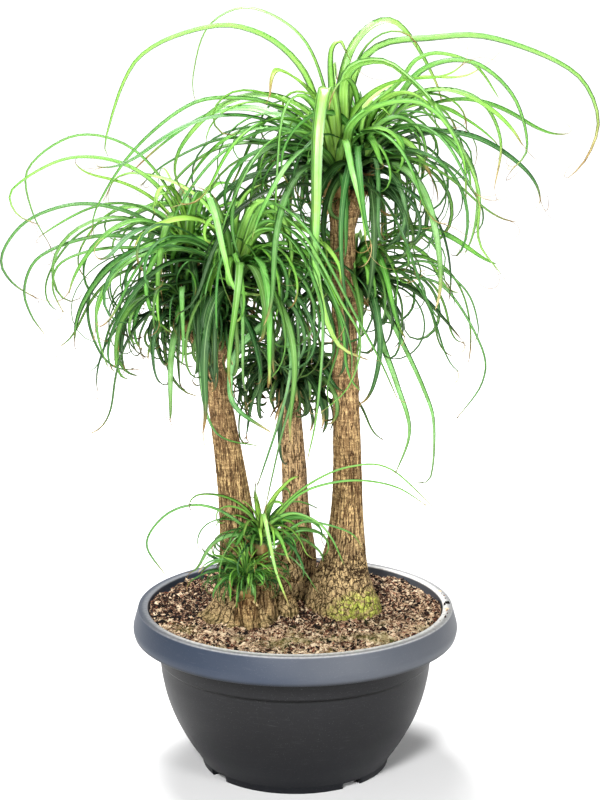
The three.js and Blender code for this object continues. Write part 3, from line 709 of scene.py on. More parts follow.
def trunkSurface(stations, columns, rows, seed, plated=0.0, lobes=0, lobeCount=5, lobeTurn=0):
    # rings of a wandering radius round a smooth line through the stations, closer at the foot
    line = smoothThrough(stations, bark["lineSamples"])
    travelled = travelledAlong(line[:, :3])
    low = np.interp(min(soilLevel - 8, stations[-1][2] - 1), line[:, 2], travelled)
    buried = bark["buriedRings"] if low > 0 else 0
    share = np.linspace(0, 1, rows - buried)
    shown = low + (travelled[-1] - low) * between(share, share * share, 0.35)
    spots = np.concatenate([np.linspace(0, low, buried, endpoint=False), shown])
    x, y, z, radius = (np.interp(spots, travelled, line[:, n])[:, None] for n in range(4))
    slimmest = min(station[3] for station in stations)
    swell = clamp01((radius - slimmest) / slimmest)
    angle = evenAngles(columns)[None, :]
    lobe = lobes * swell * np.cos(lobeCount * (angle - math.radians(lobeTurn)))
    circle = circled(0 * z, 0 * z, z / 60, 1, angle)
    folds = bark["folds"] * swell * noise(circle * np.array([2.4, 2.4, 1.0]), seed)
    slack = bark["slack"] * noise(circle * np.array([1.5, 1.5, 3.0]), seed + 1)
    plain = radius * (1 + lobe + folds + slack)
    base = circled(x, y, z, plain, angle)
    around = angle * bark["shaftRadius"] + 0 * z
    depth, groove = barkRelief(around, base[..., 2], swell + 0 * angle, seed, plated, base)
    seam = clamp01(np.minimum(angle, 2 * np.pi - angle) / bark["seam"])
    reach = plain + bark["proud"] - depth * seam
    quads, fans = tubeFaces(rows, columns)
    attributes = {"groove": groove * seam, "swell": swell + 0 * angle}
    return circled(x, y, z, reach, angle).reshape(-1, 3), quads, fans, attributes


def makeTrunk(name):
    # a trunk and its stems as one object
    t = trunks[name]
    keys = ("stations", "columns", "rows", "seed", "plated", "lobes", "lobeCount", "lobeTurn")
    parts = [trunkSurface(*(t[key] for key in keys))]
    for number, (owner, stations) in enumerate(stems):
        if owner == name:
            seed = t["seed"] + 5 * number
            parts.append(trunkSurface(stations, bark["stemSides"], bark["stemRings"], seed))
    vertices, quads, triangles, attributes = joined(parts)
    attributes["pale"] = np.full(len(vertices), t["pale"])
    return makeMesh("bark_" + name, vertices, quads, triangles, **attributes)


barkColours = {
    "tan": {0.30: (0.160, 0.094, 0.034), 0.52: (0.225, 0.142, 0.056), 0.72: (0.310, 0.208, 0.090)},
    "paleAndLitTan": (0.86, 0.62, 0.36),
    "footTan": (0.82, 0.65, 0.37),
    "upperLitTan": (0.72, 0.50, 0.29),
    "stain": (0.110, 0.056, 0.022),
    "fibre": (0.74, 0.53, 0.26),
    "line": (0.050, 0.021, 0.009),
    "ring": (0.100, 0.050, 0.022),
    "net": (0.080, 0.040, 0.017),
    "split": (0.022, 0.009, 0.004),
    "groove": (0.018, 0.008, 0.004),
    "moss": {0.34: (0.045, 0.070, 0.010), 0.50: (0.290, 0.390, 0.040), 0.64: (0.720, 0.760, 0.180)},
    "damp": (0.13, 0.115, 0.035),
}

# The mossy place on the right foot: its middle in metres, and how fast it ends along each axis
moss = {"middle": (0.086, -0.020, 0.190), "narrow": (21, 18, 32)}


def mossiness(f, axes, swell, dark, split):
    # a ragged patch round the mossy place, less in the cracks and only on the swollen foot
    aside, front, up = (
        (axis - middle) * narrow
        for axis, middle, narrow in zip(axes, moss["middle"], moss["narrow"])
    )
    near = (aside * aside + front * front + up * up).step(1.5, 0.2)
    broken = f.noise(150, detail=5.0, roughness=0.7).step(0.40, 0.60)
    ragged = near * (0.1 + 1.1 * broken) * (1 - 0.9 * dark) * (1 - 0.8 * split)
    return (ragged * swell.step(0.05, 0.3)).math("MINIMUM", 0.75)


def barkFinish():
    # tan bark, paler on the foot, and paler higher up and on the middle trunk as painted light, with
    # fibres, upright lines, rings and cracks, grooves darkened partly as painted shade, and moss and damp
    # low down
    f = Finish("bark")
    colours = barkColours
    groove = f.attribute("groove")
    swell = f.attribute("swell")
    pale = f.attribute("pale")
    x, y, z = f.axes()
    patches = f.noise(28, (1, 1, 0.6), detail=4.0)
    streaks = f.noise(420, (1, 1, 0.10), detail=4.0, roughness=0.65)
    bands = f.noise(330, (0.12, 0.12, 1), detail=3.0, roughness=0.6)
    grain = f.noise(700, detail=3.0, roughness=0.7)
    # painted light: the shaft paler higher up, against the shade of the leaves above
    upper = z.step(0.34, 0.50)
    tan = f.painted(
        f.ramp(patches, colours["tan"]),
        # painted light: paler bark, most on the middle trunk, which the others shade
        (pale * 0.8, colours["paleAndLitTan"]),
        (swell * 0.55, colours["footTan"]),
        (upper * 0.4, colours["upperLitTan"]),
    )
    tone = 0.45 * streaks + 0.25 * bands + 0.3 * grain
    lines = abs(f.noise(210, (1, 1, 0.13), detail=2.0) - 0.5).step(0.048, 0.010)
    rings = abs(bands - 0.5).step(0.020, 0.002)
    net = f.crack(400, (1, 1, 0.7)).step(0.10, 0.02)
    split = f.crack(150, (1, 1, 0.6), 0.006).step(0.065, 0.015) * swell.step(0.45, 0.95)
    # grooves darkened by their depth: partly the fissures' own dark bark, partly painted shade in them
    dark = groove.step(0.24, 0.80) * (0.66 + 0.22 * swell)
    green = f.ramp(f.noise(300, detail=4.0, roughness=0.7), colours["moss"])
    damp = z.step(0.212, 0.188) * f.noise(90, detail=3.0).step(0.35, 0.6)
    colour = f.painted(
        tan,
        (tone.step(0.53, 0.45) * (0.65 - 0.3 * swell), colours["stain"]),
        (tone.step(0.50, 0.58) * 0.65, colours["fibre"]),
        (lines * (0.9 - 0.35 * swell - 0.4 * upper), colours["line"]),
        (rings * (0.35 + 0.25 * upper), colours["ring"]),
        (net * 0.25, colours["net"]),
        (split * 0.85, colours["split"]),
        (dark, colours["groove"]),
        (mossiness(f, (x, y, z), swell, dark, split), green),
        (damp * 0.4, colours["damp"]),
    )
    relief = 0.6 * streaks + 0.5 * grain + 0.3 * bands - 0.7 * split
    roughness = 0.78 + 0.15 * grain
    return f.surface(colour, roughness, relief, 0.0016, 0.8, {"Specular IOR Level": 0.2})


barkMaterial = barkFinish()
for trunkName in trunks:
    dress(makeTrunk(trunkName), barkMaterial, "bark", "trunk_" + trunkName)
print("trunks made")


# Potting mix

soil = {
    "innerRadius": 179.6,  # of the bowl at the soil's edge
    "underside": (  # down the bowl's inner wall to its floor, as (radius, height)
        (112, 11.5), (131, 36.5), (147, 65.5), (157, 93.5), (163.3, 137), (169.0, 168),
    ),
    "rings": 80,
    "spokes": 230,
    "dish": 6.5,  # rise towards the bowl's lip
    "lumps": 2.9,
    "crumbs": 2.3,
    "chips": 8400,
    "fibres": 2500,
    "fibreSpots": 5,
    "feet": ((61, 16, 44), (-81, -16, 44), (-10, 64, 31)),  # bare rounds, as (x, y, radius)
    "spilled": 16,  # chips on the rim's right side
    "spilledFrom": (-0.5, 182.5),  # radians round the axis and distance from it
    "spilledTo": (0.3, 189),
    "seed": 71,
}


def soilHeight(x, y):
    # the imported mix's gentle waves, with lumps and crumbs on them
    dish = soil["dish"] * (np.hypot(x, y) / pot["lipRadius"]) ** 4
    waves = 2.2 * np.sin(x / 31 + 1.3) * np.cos(y / 27) + 1.4 * np.sin(x / 13 + y / 17 + 0.6)
    flat = np.stack([x, y, 0 * x], -1)
    lumps = soil["lumps"] * layered(flat / 13, soil["seed"], 3)
    crumbs = soil["crumbs"] * layered(flat / 4.5, soil["seed"] + 5, 2)
    return soilLevel + dish + waves + lumps + crumbs


def makeSoil():
    # a disc of the uneven height, then down inside the bowl's wall to its floor
    under = np.array(soil["underside"])
    share = np.linspace(1, 0, soil["rings"]) ** 0.8
    radius = np.maximum(np.concatenate([under[:, 0], soil["innerRadius"] * share]), 0.05)
    r, a = np.meshgrid(radius, evenAngles(soil["spokes"]), indexing="ij")
    x = r * np.cos(a)
    y = r * np.sin(a)
    z = soilHeight(x, y) - ease((r / soil["innerRadius"] - 0.94) / 0.06)
    z[:len(under)] = under[:, 1:]
    vertices = np.stack([x, y, z], -1).reshape(-1, 3)
    quads, fans = tubeFaces(len(radius), soil["spokes"])
    return makeMesh("mulch_bed", vertices, quads, fans, tone=0.5 + 0 * x)


def soilSpots(count, rng):
    # random places on the soil, none under the trunks' feet
    feet = np.array(soil["feet"])
    radius = soil["innerRadius"] * 0.985 * np.sqrt(rng.random(count * 2))
    angle = rng.random(count * 2) * 2 * np.pi
    spots = circled(0, 0, 0, radius, angle)[:, :2]
    away = np.linalg.norm(spots[:, None] - feet[None, :, :2], axis=-1) - feet[:, 2]
    return spots[away.min(1) > 0][:count]


def shards(centres, sizes, rng):
    # eight-sided chips: three crossed axes in a random frame, stretched along the first
    count = len(centres)
    first = unit(rng.normal(size=(count, 3)) * np.array([1, 1, 0.35]))
    other = unit(np.cross(first, rng.normal(size=(count, 3))))
    third = np.cross(first, other)
    axes = np.stack([first, other, third], 1) * sizes[:, :, None]
    jitter = 0.75 + 0.5 * rng.random((count, 6, 1))
    ends = np.concatenate([axes, -axes], 1) * jitter
    vertices = centres[:, None] + ends
    faces = np.array([
        [0, 1, 2], [1, 3, 2], [3, 4, 2], [4, 0, 2], [1, 0, 5], [3, 1, 5], [4, 3, 5], [0, 4, 5],
    ])
    triangles = faces[None] + 6 * np.arange(count)[:, None, None]
    return vertices.reshape(-1, 3), triangles.reshape(-1, 3)


def makeChips():
    # chips all over the soil, half sunk in it, and a few spilled on the rim
    rng = np.random.default_rng(soil["seed"])
    spots = soilSpots(soil["chips"], rng)
    height = soilHeight(spots[:, 0], spots[:, 1]) + rng.uniform(-0.8, 1.8, len(spots))
    angle, out = rng.uniform(soil["spilledFrom"], soil["spilledTo"], (soil["spilled"], 2)).T
    spilled = circled(0, 0, pot["rimTop"] + 0.4, out, angle)
    centres = np.concatenate([np.column_stack([spots, height]), spilled])
    length = 0.9 + 4.2 * rng.random(len(centres)) ** 3
    width = length * rng.uniform(0.35, 0.8, len(centres))
    sizes = np.stack([length, width, 0.3 + 0.3 * length], -1)
    vertices, triangles = shards(centres, sizes, rng)
    tone = np.repeat(rng.random(len(centres)), len(vertices) // len(centres))
    return makeMesh("mulch_chips", vertices, (), triangles, smooth=False, tone=tone)


def makeFibres():
    # thin bent three-sided straws lying about
    rng = np.random.default_rng(soil["seed"] + 1)
    spots = soilSpots(soil["fibres"], rng)
    count = len(spots)
    heading = rng.random(count) * 2 * np.pi
    bend = rng.normal(size=count) * 0.9
    length = 3 + 11 * rng.random(count) ** 2
    along = np.linspace(-0.5, 0.5, soil["fibreSpots"])[None, :]
    turn = heading[:, None] + bend[:, None] * along
    step = length[:, None] * along
    x = spots[:, :1] + step * np.cos(turn)
    y = spots[:, 1:] + step * np.sin(turn)
    edge = soil["innerRadius"] * 0.99
    pull = np.minimum(1, edge / np.maximum(np.hypot(x, y), 1))
    x, y = x * pull, y * pull
    tilt = rng.normal(size=(count, 1)) * 0.22
    z = soilHeight(x, y) + 0.8 + np.abs(step * tilt)
    thick = (0.22 + 0.35 * rng.random((count, 1, 1))) * (1 - 1.2 * np.abs(along))[..., None]
    side = np.stack([-np.sin(turn), np.cos(turn), 0 * turn], -1)
    up = np.array([0, 0, 1.0])
    line = np.stack([x, y, z], -1)
    corners = [line + side * thick, line - side * thick, line + up * thick * 1.2]
    vertices = np.stack(corners[::-1], 2).reshape(-1, 3)
    quads, fans = tubeFaces(soil["fibreSpots"], 3, count)
    tone = np.repeat(rng.random(count), 3 * soil["fibreSpots"])
    return makeMesh("mulch_fibres", vertices, quads, fans, tone=tone)


soilLooks = {
    "mix": {
        "name": "peatMix", "green": 0.5,
        "stops": {
            0.22: (0.004, 0.002, 0.001),
            0.40: (0.040, 0.017, 0.010),
            0.52: (0.170, 0.080, 0.044),
            0.62: (0.380, 0.225, 0.135),
            0.74: (0.740, 0.560, 0.380),
        },
    },
    "chips": {
        "name": "barkChips", "green": 0.4,
        "stops": {
            0.18: (0.005, 0.002, 0.001),
            0.38: (0.065, 0.025, 0.014),
            0.52: (0.220, 0.085, 0.048),
            0.61: (0.310, 0.120, 0.074),
            0.74: (0.490, 0.300, 0.180),
            0.92: (0.860, 0.700, 0.500),
        },
    },
    "fibres": {
        "name": "straws", "green": 0.3,
        "stops": {
            0.15: (0.110, 0.050, 0.028),
            0.45: (0.400, 0.255, 0.150),
            0.80: (0.800, 0.640, 0.430),
        },
    },
}
soilGreen = (0.25, 0.25, 0.07)  # a tinge in patches towards the front


def soilFinish(kind):
    # each chip's or straw's own tone, broken up by noise, made lighter to the front and the right as
    # painted light
    look = soilLooks[kind]
    f = Finish(look["name"])
    tone = f.attribute("tone")
    grain = f.noise(310, detail=5.0, roughness=0.75)
    lump = f.noise(110, detail=3.0)
    x, y = f.axes(2)
    # painted light: the mix lighter to the front and the right
    front = y.step(-0.01, -0.10)
    right = x.step(0.04, 0.13)
    value = 1.6 * tone + 2.9 * grain + 1.0 * lump + 0.26 * front + 0.09 * right - 2.36
    patch = f.noise(22, detail=3.0).step(0.5, 0.66)
    colour = f.blend(patch * front * look["green"], f.ramp(value, look["stops"]), soilGreen)
    return f.surface(colour, 0.92, 0.7 * grain + 0.5 * lump, 0.004, 1.0)


dress(makeSoil(), soilFinish("mix"), "potting_mix", "mix")
dress(makeChips(), soilFinish("chips"), "potting_mix")
dress(makeFibres(), soilFinish("fibres"), "potting_mix")
print("mulch made")


# Leaves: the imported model's rule again, so that each leaf stands where its faceted blade does

leafRule = {
    "steps": 48,  # of a leaf's middle line
    "tries": 60,  # at each leaf
    "gap": 2.4,  # kept between leaves
    "crowded": 30,  # but not so near their common core
    "lowest": 196,
    "lowestOutside": 204,  # beyond the mix
    "tallest": 932,
    "golden": 137.508,  # degrees from leaf to leaf about the crown
    "archShare": 0.78,
    "hooked": 0.75,  # share of the length from which the tip curls
    "firstLarge": 60,  # where the large leaves' numbers start
    "widenStray": 6,
    "depth": 1.5,  # of the faceted blade
    "fewestSpans": 3,
    "mostSpans": 8,
    "spanLength": 121,
    "trunkSides": 14,
    "stemSides": 8,
    "coreSides": 6,
    "coreRings": ((0.85, 0), (1, 0.35), (0.45, 1)),  # as shares of a core's (radius, height)
}

# How far a leaf may stray from the rule to either side: degrees, and shares of its size
leafStray = {
    "heading": 22, "rise": 12, "bend": 40, "curl": 110, "drift": 35, "roll": 30, "twist": 60,
    "size": 0.15,
}

# A head stands on its base; its core has a radius and a height, and its leaves have a shortest and
# a longest length. Lift raises the outer leaves by some degrees.
heads = {
    "tall_main": {"seed": 11, "base": (49, 12, 702), "core": (15, 46), "leaves": 32,
                  "length": (170, 330), "width": 12.5},
    "tall_side": {"seed": 12, "base": (79, 25, 714), "core": (13.5, 42), "leaves": 28,
                  "length": (140, 280), "width": 11.5},
    "tall_back": {"seed": 13, "base": (72, 50, 574), "core": (12.5, 36), "leaves": 24,
                  "length": (110, 230), "width": 10.5},
    "left_main": {"seed": 14, "base": (-71, -20, 578), "core": (15, 46), "leaves": 30,
                  "length": (140, 290), "width": 12.5},
    "left_back": {"seed": 15, "base": (-128, 30, 602), "core": (13, 40), "leaves": 24,
                  "length": (130, 270), "width": 10.5},
    "left_low": {"seed": 16, "base": (-129, -17, 546), "core": (11, 32), "leaves": 18,
                 "length": (80, 190), "width": 9.5},
    "left_inner": {"seed": 17, "base": (-80, -38, 536), "core": (8, 22), "leaves": 10,
                   "length": (50, 110), "width": 9},
    "middle": {"seed": 18, "base": (-8, 70, 442), "core": (15, 44), "leaves": 26,
               "length": (60, 145), "width": 11},
    "offset_large": {"seed": 19, "base": (-41, -36, 276), "core": (10, 30), "leaves": 14,
                     "length": (60, 125), "width": 8.5, "lift": 25},
    "offset_small": {"seed": 20, "base": (-59, -58, 229), "core": (9.5, 24), "leaves": 26,
                     "length": (38, 88), "width": 6, "lift": 42},
}

# Large leaves as (width, forward, roll, route), with the route in pixels of the front view
largeLeaves = {
    "tall_main": (
        (9, 40, 40, ((318, 110), (300, 67), (262, 35), (210, 27), (138, 59), (106, 138), (109, 159))),
        (9, -60, 35, ((325, 95), (300, 36), (249, 8), (208, 27), (193, 76), (195, 103))),
        (9, 30, 40, ((305, 128), (275, 107), (241, 99), (191, 105), (134, 151), (96, 210), (94, 239))),
        (9, -40, 40, ((300, 148), (264, 142), (220, 140), (168, 163), (140, 186))),
        (17, 120, 0, ((334, 120), (327, 86), (319, 130), (317, 200), (317, 275), (336, 341),
                        (370, 361))),
        (11, 90, 10, ((322, 120), (300, 96), (283, 118), (276, 200), (272, 271))),
        (11, 100, 0, ((344, 140), (352, 172), (362, 210), (366, 244))),
        (10, 110, 20, ((312, 138), (283, 135), (254, 160), (223, 228), (221, 275), (235, 314))),
        (9, 60, 30, ((310, 142), (270, 130), (215, 160), (171, 225), (161, 283), (165, 308))),
        (12.5, 15, 0, ((337, 140), (332, 90), (331, 52), (340, 41), (347, 54))),
        (15, -30, -20, ((339, 140), (341, 95), (351, 52), (371, 27), (393, 22), (415, 45), (436, 84),
                        (442, 104))),
        (14, 80, -20, ((343, 125), (344, 85), (353, 68), (375, 62), (397, 70), (437, 111), (476, 184),
                       (478, 241), (502, 275))),
        (12, 105, -20, ((346, 145), (350, 128), (365, 113), (385, 105), (406, 102), (425, 106), (446, 125),
                        (463, 160), (466, 205))),
        (10, 30, -35, ((344, 130), (352, 85), (362, 61), (384, 44), (425, 39), (490, 38), (572, 71),
                       (598, 118), (586, 159), (566, 180))),
        (11, 10, -30, ((347, 142), (369, 111), (400, 83), (416, 61), (440, 54), (475, 66), (500, 100))),
    ),
    "tall_side": (
        (9, 60, -35, ((384, 125), (420, 72), (470, 62), (512, 95), (527, 147), (509, 173))),
        (11, 40, -10, ((366, 152), (371, 136), (384, 122), (402, 118), (420, 132), (428, 158))),
        (10, 25, 10, ((364, 150), (362, 128), (368, 112), (381, 108), (392, 118))),
        (10, 20, -30, ((382, 128), (430, 92), (478, 100), (500, 140), (494, 190))),
    ),
    "tall_back": (
        (11, 20, 30, ((372, 262), (395, 242), (417, 233), (436, 250), (446, 285))),
        (7, 30, -30, ((385, 275), (425, 262), (465, 290), (478, 326), (474, 345))),
        (7, -30, -30, ((385, 280), (440, 285), (480, 345), (482, 382), (454, 422))),
        (11, 110, -15, ((378, 300), (400, 341), (423, 390), (433, 424), (430, 478), (412, 482))),
        (11, 90, -10, ((372, 306), (382, 345), (396, 384), (409, 431), (394, 477))),
    ),
    "left_main": (
        (10, 50, 30, ((215, 262), (180, 250), (134, 260), (101, 295), (98, 333), (109, 371))),
        (15, 70, 15, ((232, 265), (217, 262), (205, 300), (201, 371), (216, 432), (262, 447))),
        (13, 45, -15, ((236, 262), (241, 235), (250, 212), (263, 202), (281, 217), (291, 250), (286, 290))),
        (13, 25, 15, ((231, 262), (228, 240), (220, 215), (213, 198), (204, 190))),
        (11, 10, 0, ((234, 262), (234, 238), (237, 213), (247, 193), (262, 184))),
        (13, 110, -15, ((255, 236), (289, 238), (316, 290), (322, 333), (316, 415), (306, 466))),
        (12, 75, -10, ((256, 262), (275, 266), (284, 333), (290, 360), (282, 407), (256, 490))),
        (10, 55, -10, ((262, 272), (290, 283), (298, 349), (293, 391), (280, 440), (264, 514))),
        (11, 125, -20, ((262, 225), (300, 240), (337, 306), (351, 349), (351, 382))),
        (11, 150, -20, ((262, 215), (300, 232), (341, 303), (360, 340), (349, 386), (316, 417))),
        (11, 170, -20, ((262, 208), (305, 228), (357, 319), (380, 361), (400, 405))),
        (12, 60, -10, ((254, 300), (267, 318), (240, 345), (230, 374), (235, 407), (273, 434))),
    ),
    "left_back": (
        (7, 0, 35, ((170, 195), (130, 148), (76, 136), (29, 168), (32, 210), (52, 249))),
        (7, 40, 35, ((168, 200), (125, 165), (67, 159), (13, 189), (17, 214), (38, 224))),
        (9, 20, 40, ((160, 232), (125, 212), (76, 205), (27, 222), (2, 256), (11, 281), (39, 300))),
        (9, 50, 40, ((158, 244), (99, 237), (42, 256), (25, 287), (31, 314), (46, 336))),
        (9, 70, 30, ((160, 252), (107, 249), (63, 262), (53, 287), (64, 314))),
        (13, 110, 10, ((192, 215), (203, 192), (214, 212), (224, 255), (236, 290), (272, 296))),
    ),
    "offset_large": (
        (7, 10, 35, ((250, 532), (219, 511), (190, 506), (163, 518), (147, 545), (167, 577))),
        (7.5, 45, 20, ((250, 538), (236, 538), (222, 560), (218, 590))),
        (6.5, 55, 0, ((263, 513), (270, 545), (277, 575), (290, 608))),
        (7.5, 30, -25, ((276, 553), (290, 557), (303, 570), (318, 592))),
        (8, 45, -25, ((272, 523), (293, 514), (316, 522), (331, 538), (344, 565))),
        (7, 15, -30, ((277, 537), (293, 528), (310, 522), (350, 533), (364, 552))),
        (6.5, 25, -30, ((280, 515), (305, 492), (350, 481), (395, 487), (430, 508))),
        (6.5, 0, -30, ((280, 510), (312, 483), (350, 467), (390, 469), (437, 511))),
        (8, 5, -25, ((276, 545), (290, 535), (305, 531), (327, 535))),
    ),
}

steps = leafRule["steps"]
along = np.arange(steps + 1) / steps  # shares of a leaf's length


def seenPoint(place, y):
    # the point at a distance behind the front that the camera sees at a pixel
    tilt = math.radians(camera["down"])
    side = (place[0] - camera["axisAcross"]) / camera["focal"]
    lift = (camera["axisDown"] - place[1]) / camera["focal"]
    forward = math.cos(tilt) + lift * math.sin(tilt)
    reach = (y + camera["distance"]) / forward
    z = camera["height"] + reach * (lift * math.cos(tilt) - math.sin(tilt))
    return side * reach, y, z


def drawsFrom(seed):
    # seeded draws between 0 and 1: a 32-bit state stirred by multiplying and shifting
    word = 0xFFFFFFFF
    state = seed & word

    def draw():
        nonlocal state
        state = (state + 0x6D2B79F5) & word
        mixed = ((state ^ (state >> 15)) * (state | 1)) & word
        mixed ^= (mixed + (mixed ^ (mixed >> 7)) * (mixed | 61)) & word
        return ((mixed ^ (mixed >> 14)) & word) / 4294967296

    return draw


def seedOf(head, index, attempt):
    # a seed of its own for each try at each leaf
    return (head["seed"] * 100 + index) * 100 + attempt


def drawLeaf(head, index, attempt):
    # one leaf by the rule: rank goes from 0 for the lowest outer leaf to 1 for the innermost
    draw = drawsFrom(seedOf(head, index, attempt))

    def stray(name):
        return leafStray[name] * (2 * draw() - 1)

    rank = (index + 0.5) / head["leaves"]
    crowd = attempt / leafRule["tries"]
    shortest, longest = head["length"]
    middling = math.sin(math.pi * (0.25 + 0.6 * rank))
    young = min(1, max(0, (rank - 0.78) / 0.2))
    lift = head.get("lift", 0)
    leaf = {"rank": rank, "rootShare": 0.15 + 0.6 * rank}
    leaf["heading"] = index * leafRule["golden"] + head["seed"] * 40 + stray("heading")
    leaf["rise"] = between(15, 80, rank**0.8) + lift * (1 - rank) + stray("rise")
    leaf["bend"] = between(between(118, 148, rank), 90, young) - lift + stray("bend")
    for name in ("curl", "drift", "roll", "twist"):
        leaf[name] = stray(name)
    sized = between(shortest, longest, middling) * (1 + stray("size"))
    leaf["length"] = sized * (1 - 0.6 * crowd)
    leaf["width"] = head["width"] * (1 + stray("size"))
    return leaf


def arcLine(head, leaf):
    # the leaf rises from the core, bends down under its weight and curls at the tip
    x, y, z = head["base"]
    share = (np.arange(steps) + 0.5) / steps
    bent = between(share, ease(share / leafRule["archShare"]), 0.55)
    hooked = leaf.get("hooked", leafRule["hooked"])
    tip = clamp01((share - hooked) / (1 - hooked))
    slope = np.radians(leaf["rise"] - leaf["bend"] * bent - leaf["curl"] * tip * tip)
    heading = np.radians(leaf["heading"] + leaf["drift"] * share * share)
    step = leaf["length"] / steps
    flat = np.cos(slope) * step
    moves = np.stack([flat * np.cos(heading), flat * np.sin(heading), np.sin(slope) * step], -1)
    root = np.array([[x, y, z + head["core"][1] * leaf["rootShare"]]])
    return np.cumsum(np.concatenate([root, moves]), axis=0)


def routeLine(head, leaf, number, attempt):
    # a smooth curve through the route, cut into equal steps
    _, forward, _, route = leaf
    x, y, z = head["base"]
    draw = drawsFrom(seedOf(head, leafRule["firstLarge"] + number, attempt))
    stray = leafRule["widenStray"] * attempt * (2 * draw() - 1)
    knots = [(x, y, z + head["core"][1] * 0.5)]
    for k, place in enumerate(route):
        share = min(1, (k + 1) / (0.6 * len(route)))
        ahead = (forward + stray) * math.sin(math.pi / 2 * share)
        knots.append(seenPoint(place, y - ahead))
    points = smoothThrough(knots, 16 * (len(knots) - 1) + 1)
    travelled = travelledAlong(points)
    spots = travelled[-1] * along
    return np.stack([np.interp(spots, travelled, points[:, n]) for n in range(3)], -1)


def framesAlong(line, roll, twist):
    # directions along and across the leaf at every step, carried along without turning round it,
    # then rolled
    ahead = np.concatenate([line[1:], line[-1:]])
    behind = np.concatenate([line[:1], line[:-1]])
    tangent = unit(ahead - behind)
    across = np.empty_like(tangent)
    last = unit(np.array([-tangent[0, 1], tangent[0, 0], 0]))
    for k in range(steps + 1):
        last = last - tangent[k] * (last @ tangent[k])
        last = last / math.sqrt(last @ last)
        across[k] = last
    angle = np.radians(roll + twist * along)[:, None]
    turned = across * np.cos(angle) + np.cross(tangent, across) * np.sin(angle)
    return tangent, turned


def leafTaper(share):
    # it widens out of the sheath and tapers to a thread at the tip
    sheath = 0.72 + 0.28 * clamp01(share / 0.12)
    return sheath * (1 - clamp01((share - 0.2) / 0.8)) ** 0.52


def bladeRings(line, tangent, across, width, extra):
    # rings of the faceted blade: flat on top with a keel below, closer where the leaf bends more
    length = np.linalg.norm(line[1] - line[0]) * steps
    wanted = leafRule["fewestSpans"] + math.floor(length / leafRule["spanLength"] + 0.5)
    count = min(leafRule["mostSpans"], wanted)
    turn = np.arccos(np.clip(np.sum(tangent[1:] * tangent[:-1], axis=1), -1, 1))
    travelled = np.concatenate([[0], np.cumsum(1 / steps + turn / 2.5)])
    targets = travelled[-1] * np.arange(count) / count - 1e-9
    at = np.searchsorted(travelled, targets)
    taper = leafTaper(along[at])[:, None]
    up = np.cross(tangent[at], across[at])
    half = 0.5 * width * taper + extra
    depth = leafRule["depth"] * (0.55 + 0.45 * taper) + 2 * extra
    middle = line[at] + up * extra
    side = across[at] * half
    rings = np.stack([middle + side, middle - side, middle - up * depth], 1)
    return rings, line[-1] + tangent[-1] * extra


def hullOf(rings, tip=None):
    # triangles between the rings, as one list of spans, each with its corners' box
    sides = rings.shape[1]
    i = np.arange(sides)
    j = (i + 1) % sides
    halves = (np.stack([i, j, j + sides], -1), np.stack([i, j + sides, i + sides], -1))
    faces = np.concatenate(halves)
    starts = sides * np.arange(len(rings) - 1)
    triangles = (faces[None] + starts[:, None, None]).reshape(-1, 3)
    owner = np.repeat(np.arange(len(starts)), len(faces))
    points = rings.reshape(-1, 3)
    low = np.minimum(rings[:-1].min(1), rings[1:].min(1))
    high = np.maximum(rings[:-1].max(1), rings[1:].max(1))
    if tip is not None:
        last = len(points) - sides
        points = np.concatenate([points, [tip]])
        fan = np.stack([i + last, j + last, np.full(sides, len(points) - 1)], -1)
        triangles = np.concatenate([triangles, fan])
        owner = np.concatenate([owner, np.full(sides, len(starts))])
        low = np.concatenate([low, [np.minimum(rings[-1].min(0), tip)]])
        high = np.concatenate([high, [np.maximum(rings[-1].max(0), tip)]])
    return {"points": points, "triangles": triangles, "owner": owner, "low": low, "high": high}


def treeOf(hull, spans=None):
    # a search tree over a hull's triangles, or over those of some of its spans
    triangles = hull["triangles"]
    if spans is not None:
        triangles = triangles[np.isin(hull["owner"], spans)]
    if len(triangles) == 0:
        return None
    return BVHTree.FromPolygons(hull["points"].tolist(), triangles.tolist(), all_triangles=True)


def stationRings(stations, sides, extra, lobes=0, lobeCount=5, lobeTurn=0):
    # rings of a packed trunk or stem, swollen by extra on all sides
    x, y, z, radius = np.array(stations, float).T[..., None]
    z[0] -= extra
    radius = radius + extra
    slimmest = radius.min()
    swell = clamp01((radius - slimmest) / slimmest)
    angle = np.arange(sides)[None, :] / sides * 2 * np.pi
    lobe = 1 + lobes * swell * np.cos(lobeCount * (angle - math.radians(lobeTurn)))
    return circled(x, y, z, radius * lobe, angle)


def coreRings(head, extra):
    # rings of a head's packed core, swollen by extra on all sides but below
    x, y, z = head["base"]
    radius, height = head["core"]
    sides = leafRule["coreSides"]
    angle = np.arange(sides) / sides * 2 * np.pi
    rings = []
    for wide, high in leafRule["coreRings"]:
        lift = 0.3 - extra if high == 0 else high * height + extra
        rings.append(circled(x, y, z + lift, radius * wide + extra, angle))
    return np.array(rings)


class Crowd:
    # what already stands: its owners, boxes and search trees

    def __init__(self):
        self.owners = []
        self.lows = []
        self.highs = []
        self.trees = []

    def add(self, owner, hull):
        self.owners.append(owner)
        self.lows.append(hull["low"].min(0))
        self.highs.append(hull["high"].max(0))
        self.trees.append(treeOf(hull))

    def meets(self, owner, hull, root):
        # near its own core a leaf may touch its sisters
        beside = np.maximum(0, np.maximum(hull["low"] - root, root - hull["high"]))
        far = np.flatnonzero(np.linalg.norm(beside, axis=1) > leafRule["crowded"])
        low = hull["low"].min(0)
        high = hull["high"].max(0)
        apart = (np.array(self.lows) > high).any(1) | (np.array(self.highs) < low).any(1)
        whole = None
        free = None
        for n in np.flatnonzero(~apart):
            if self.owners[n] == owner:
                free = free or treeOf(hull, far)
                mine = free
            else:
                whole = whole or treeOf(hull)
                mine = whole
            if mine and mine.overlap(self.trees[n]):
                return True
        return False


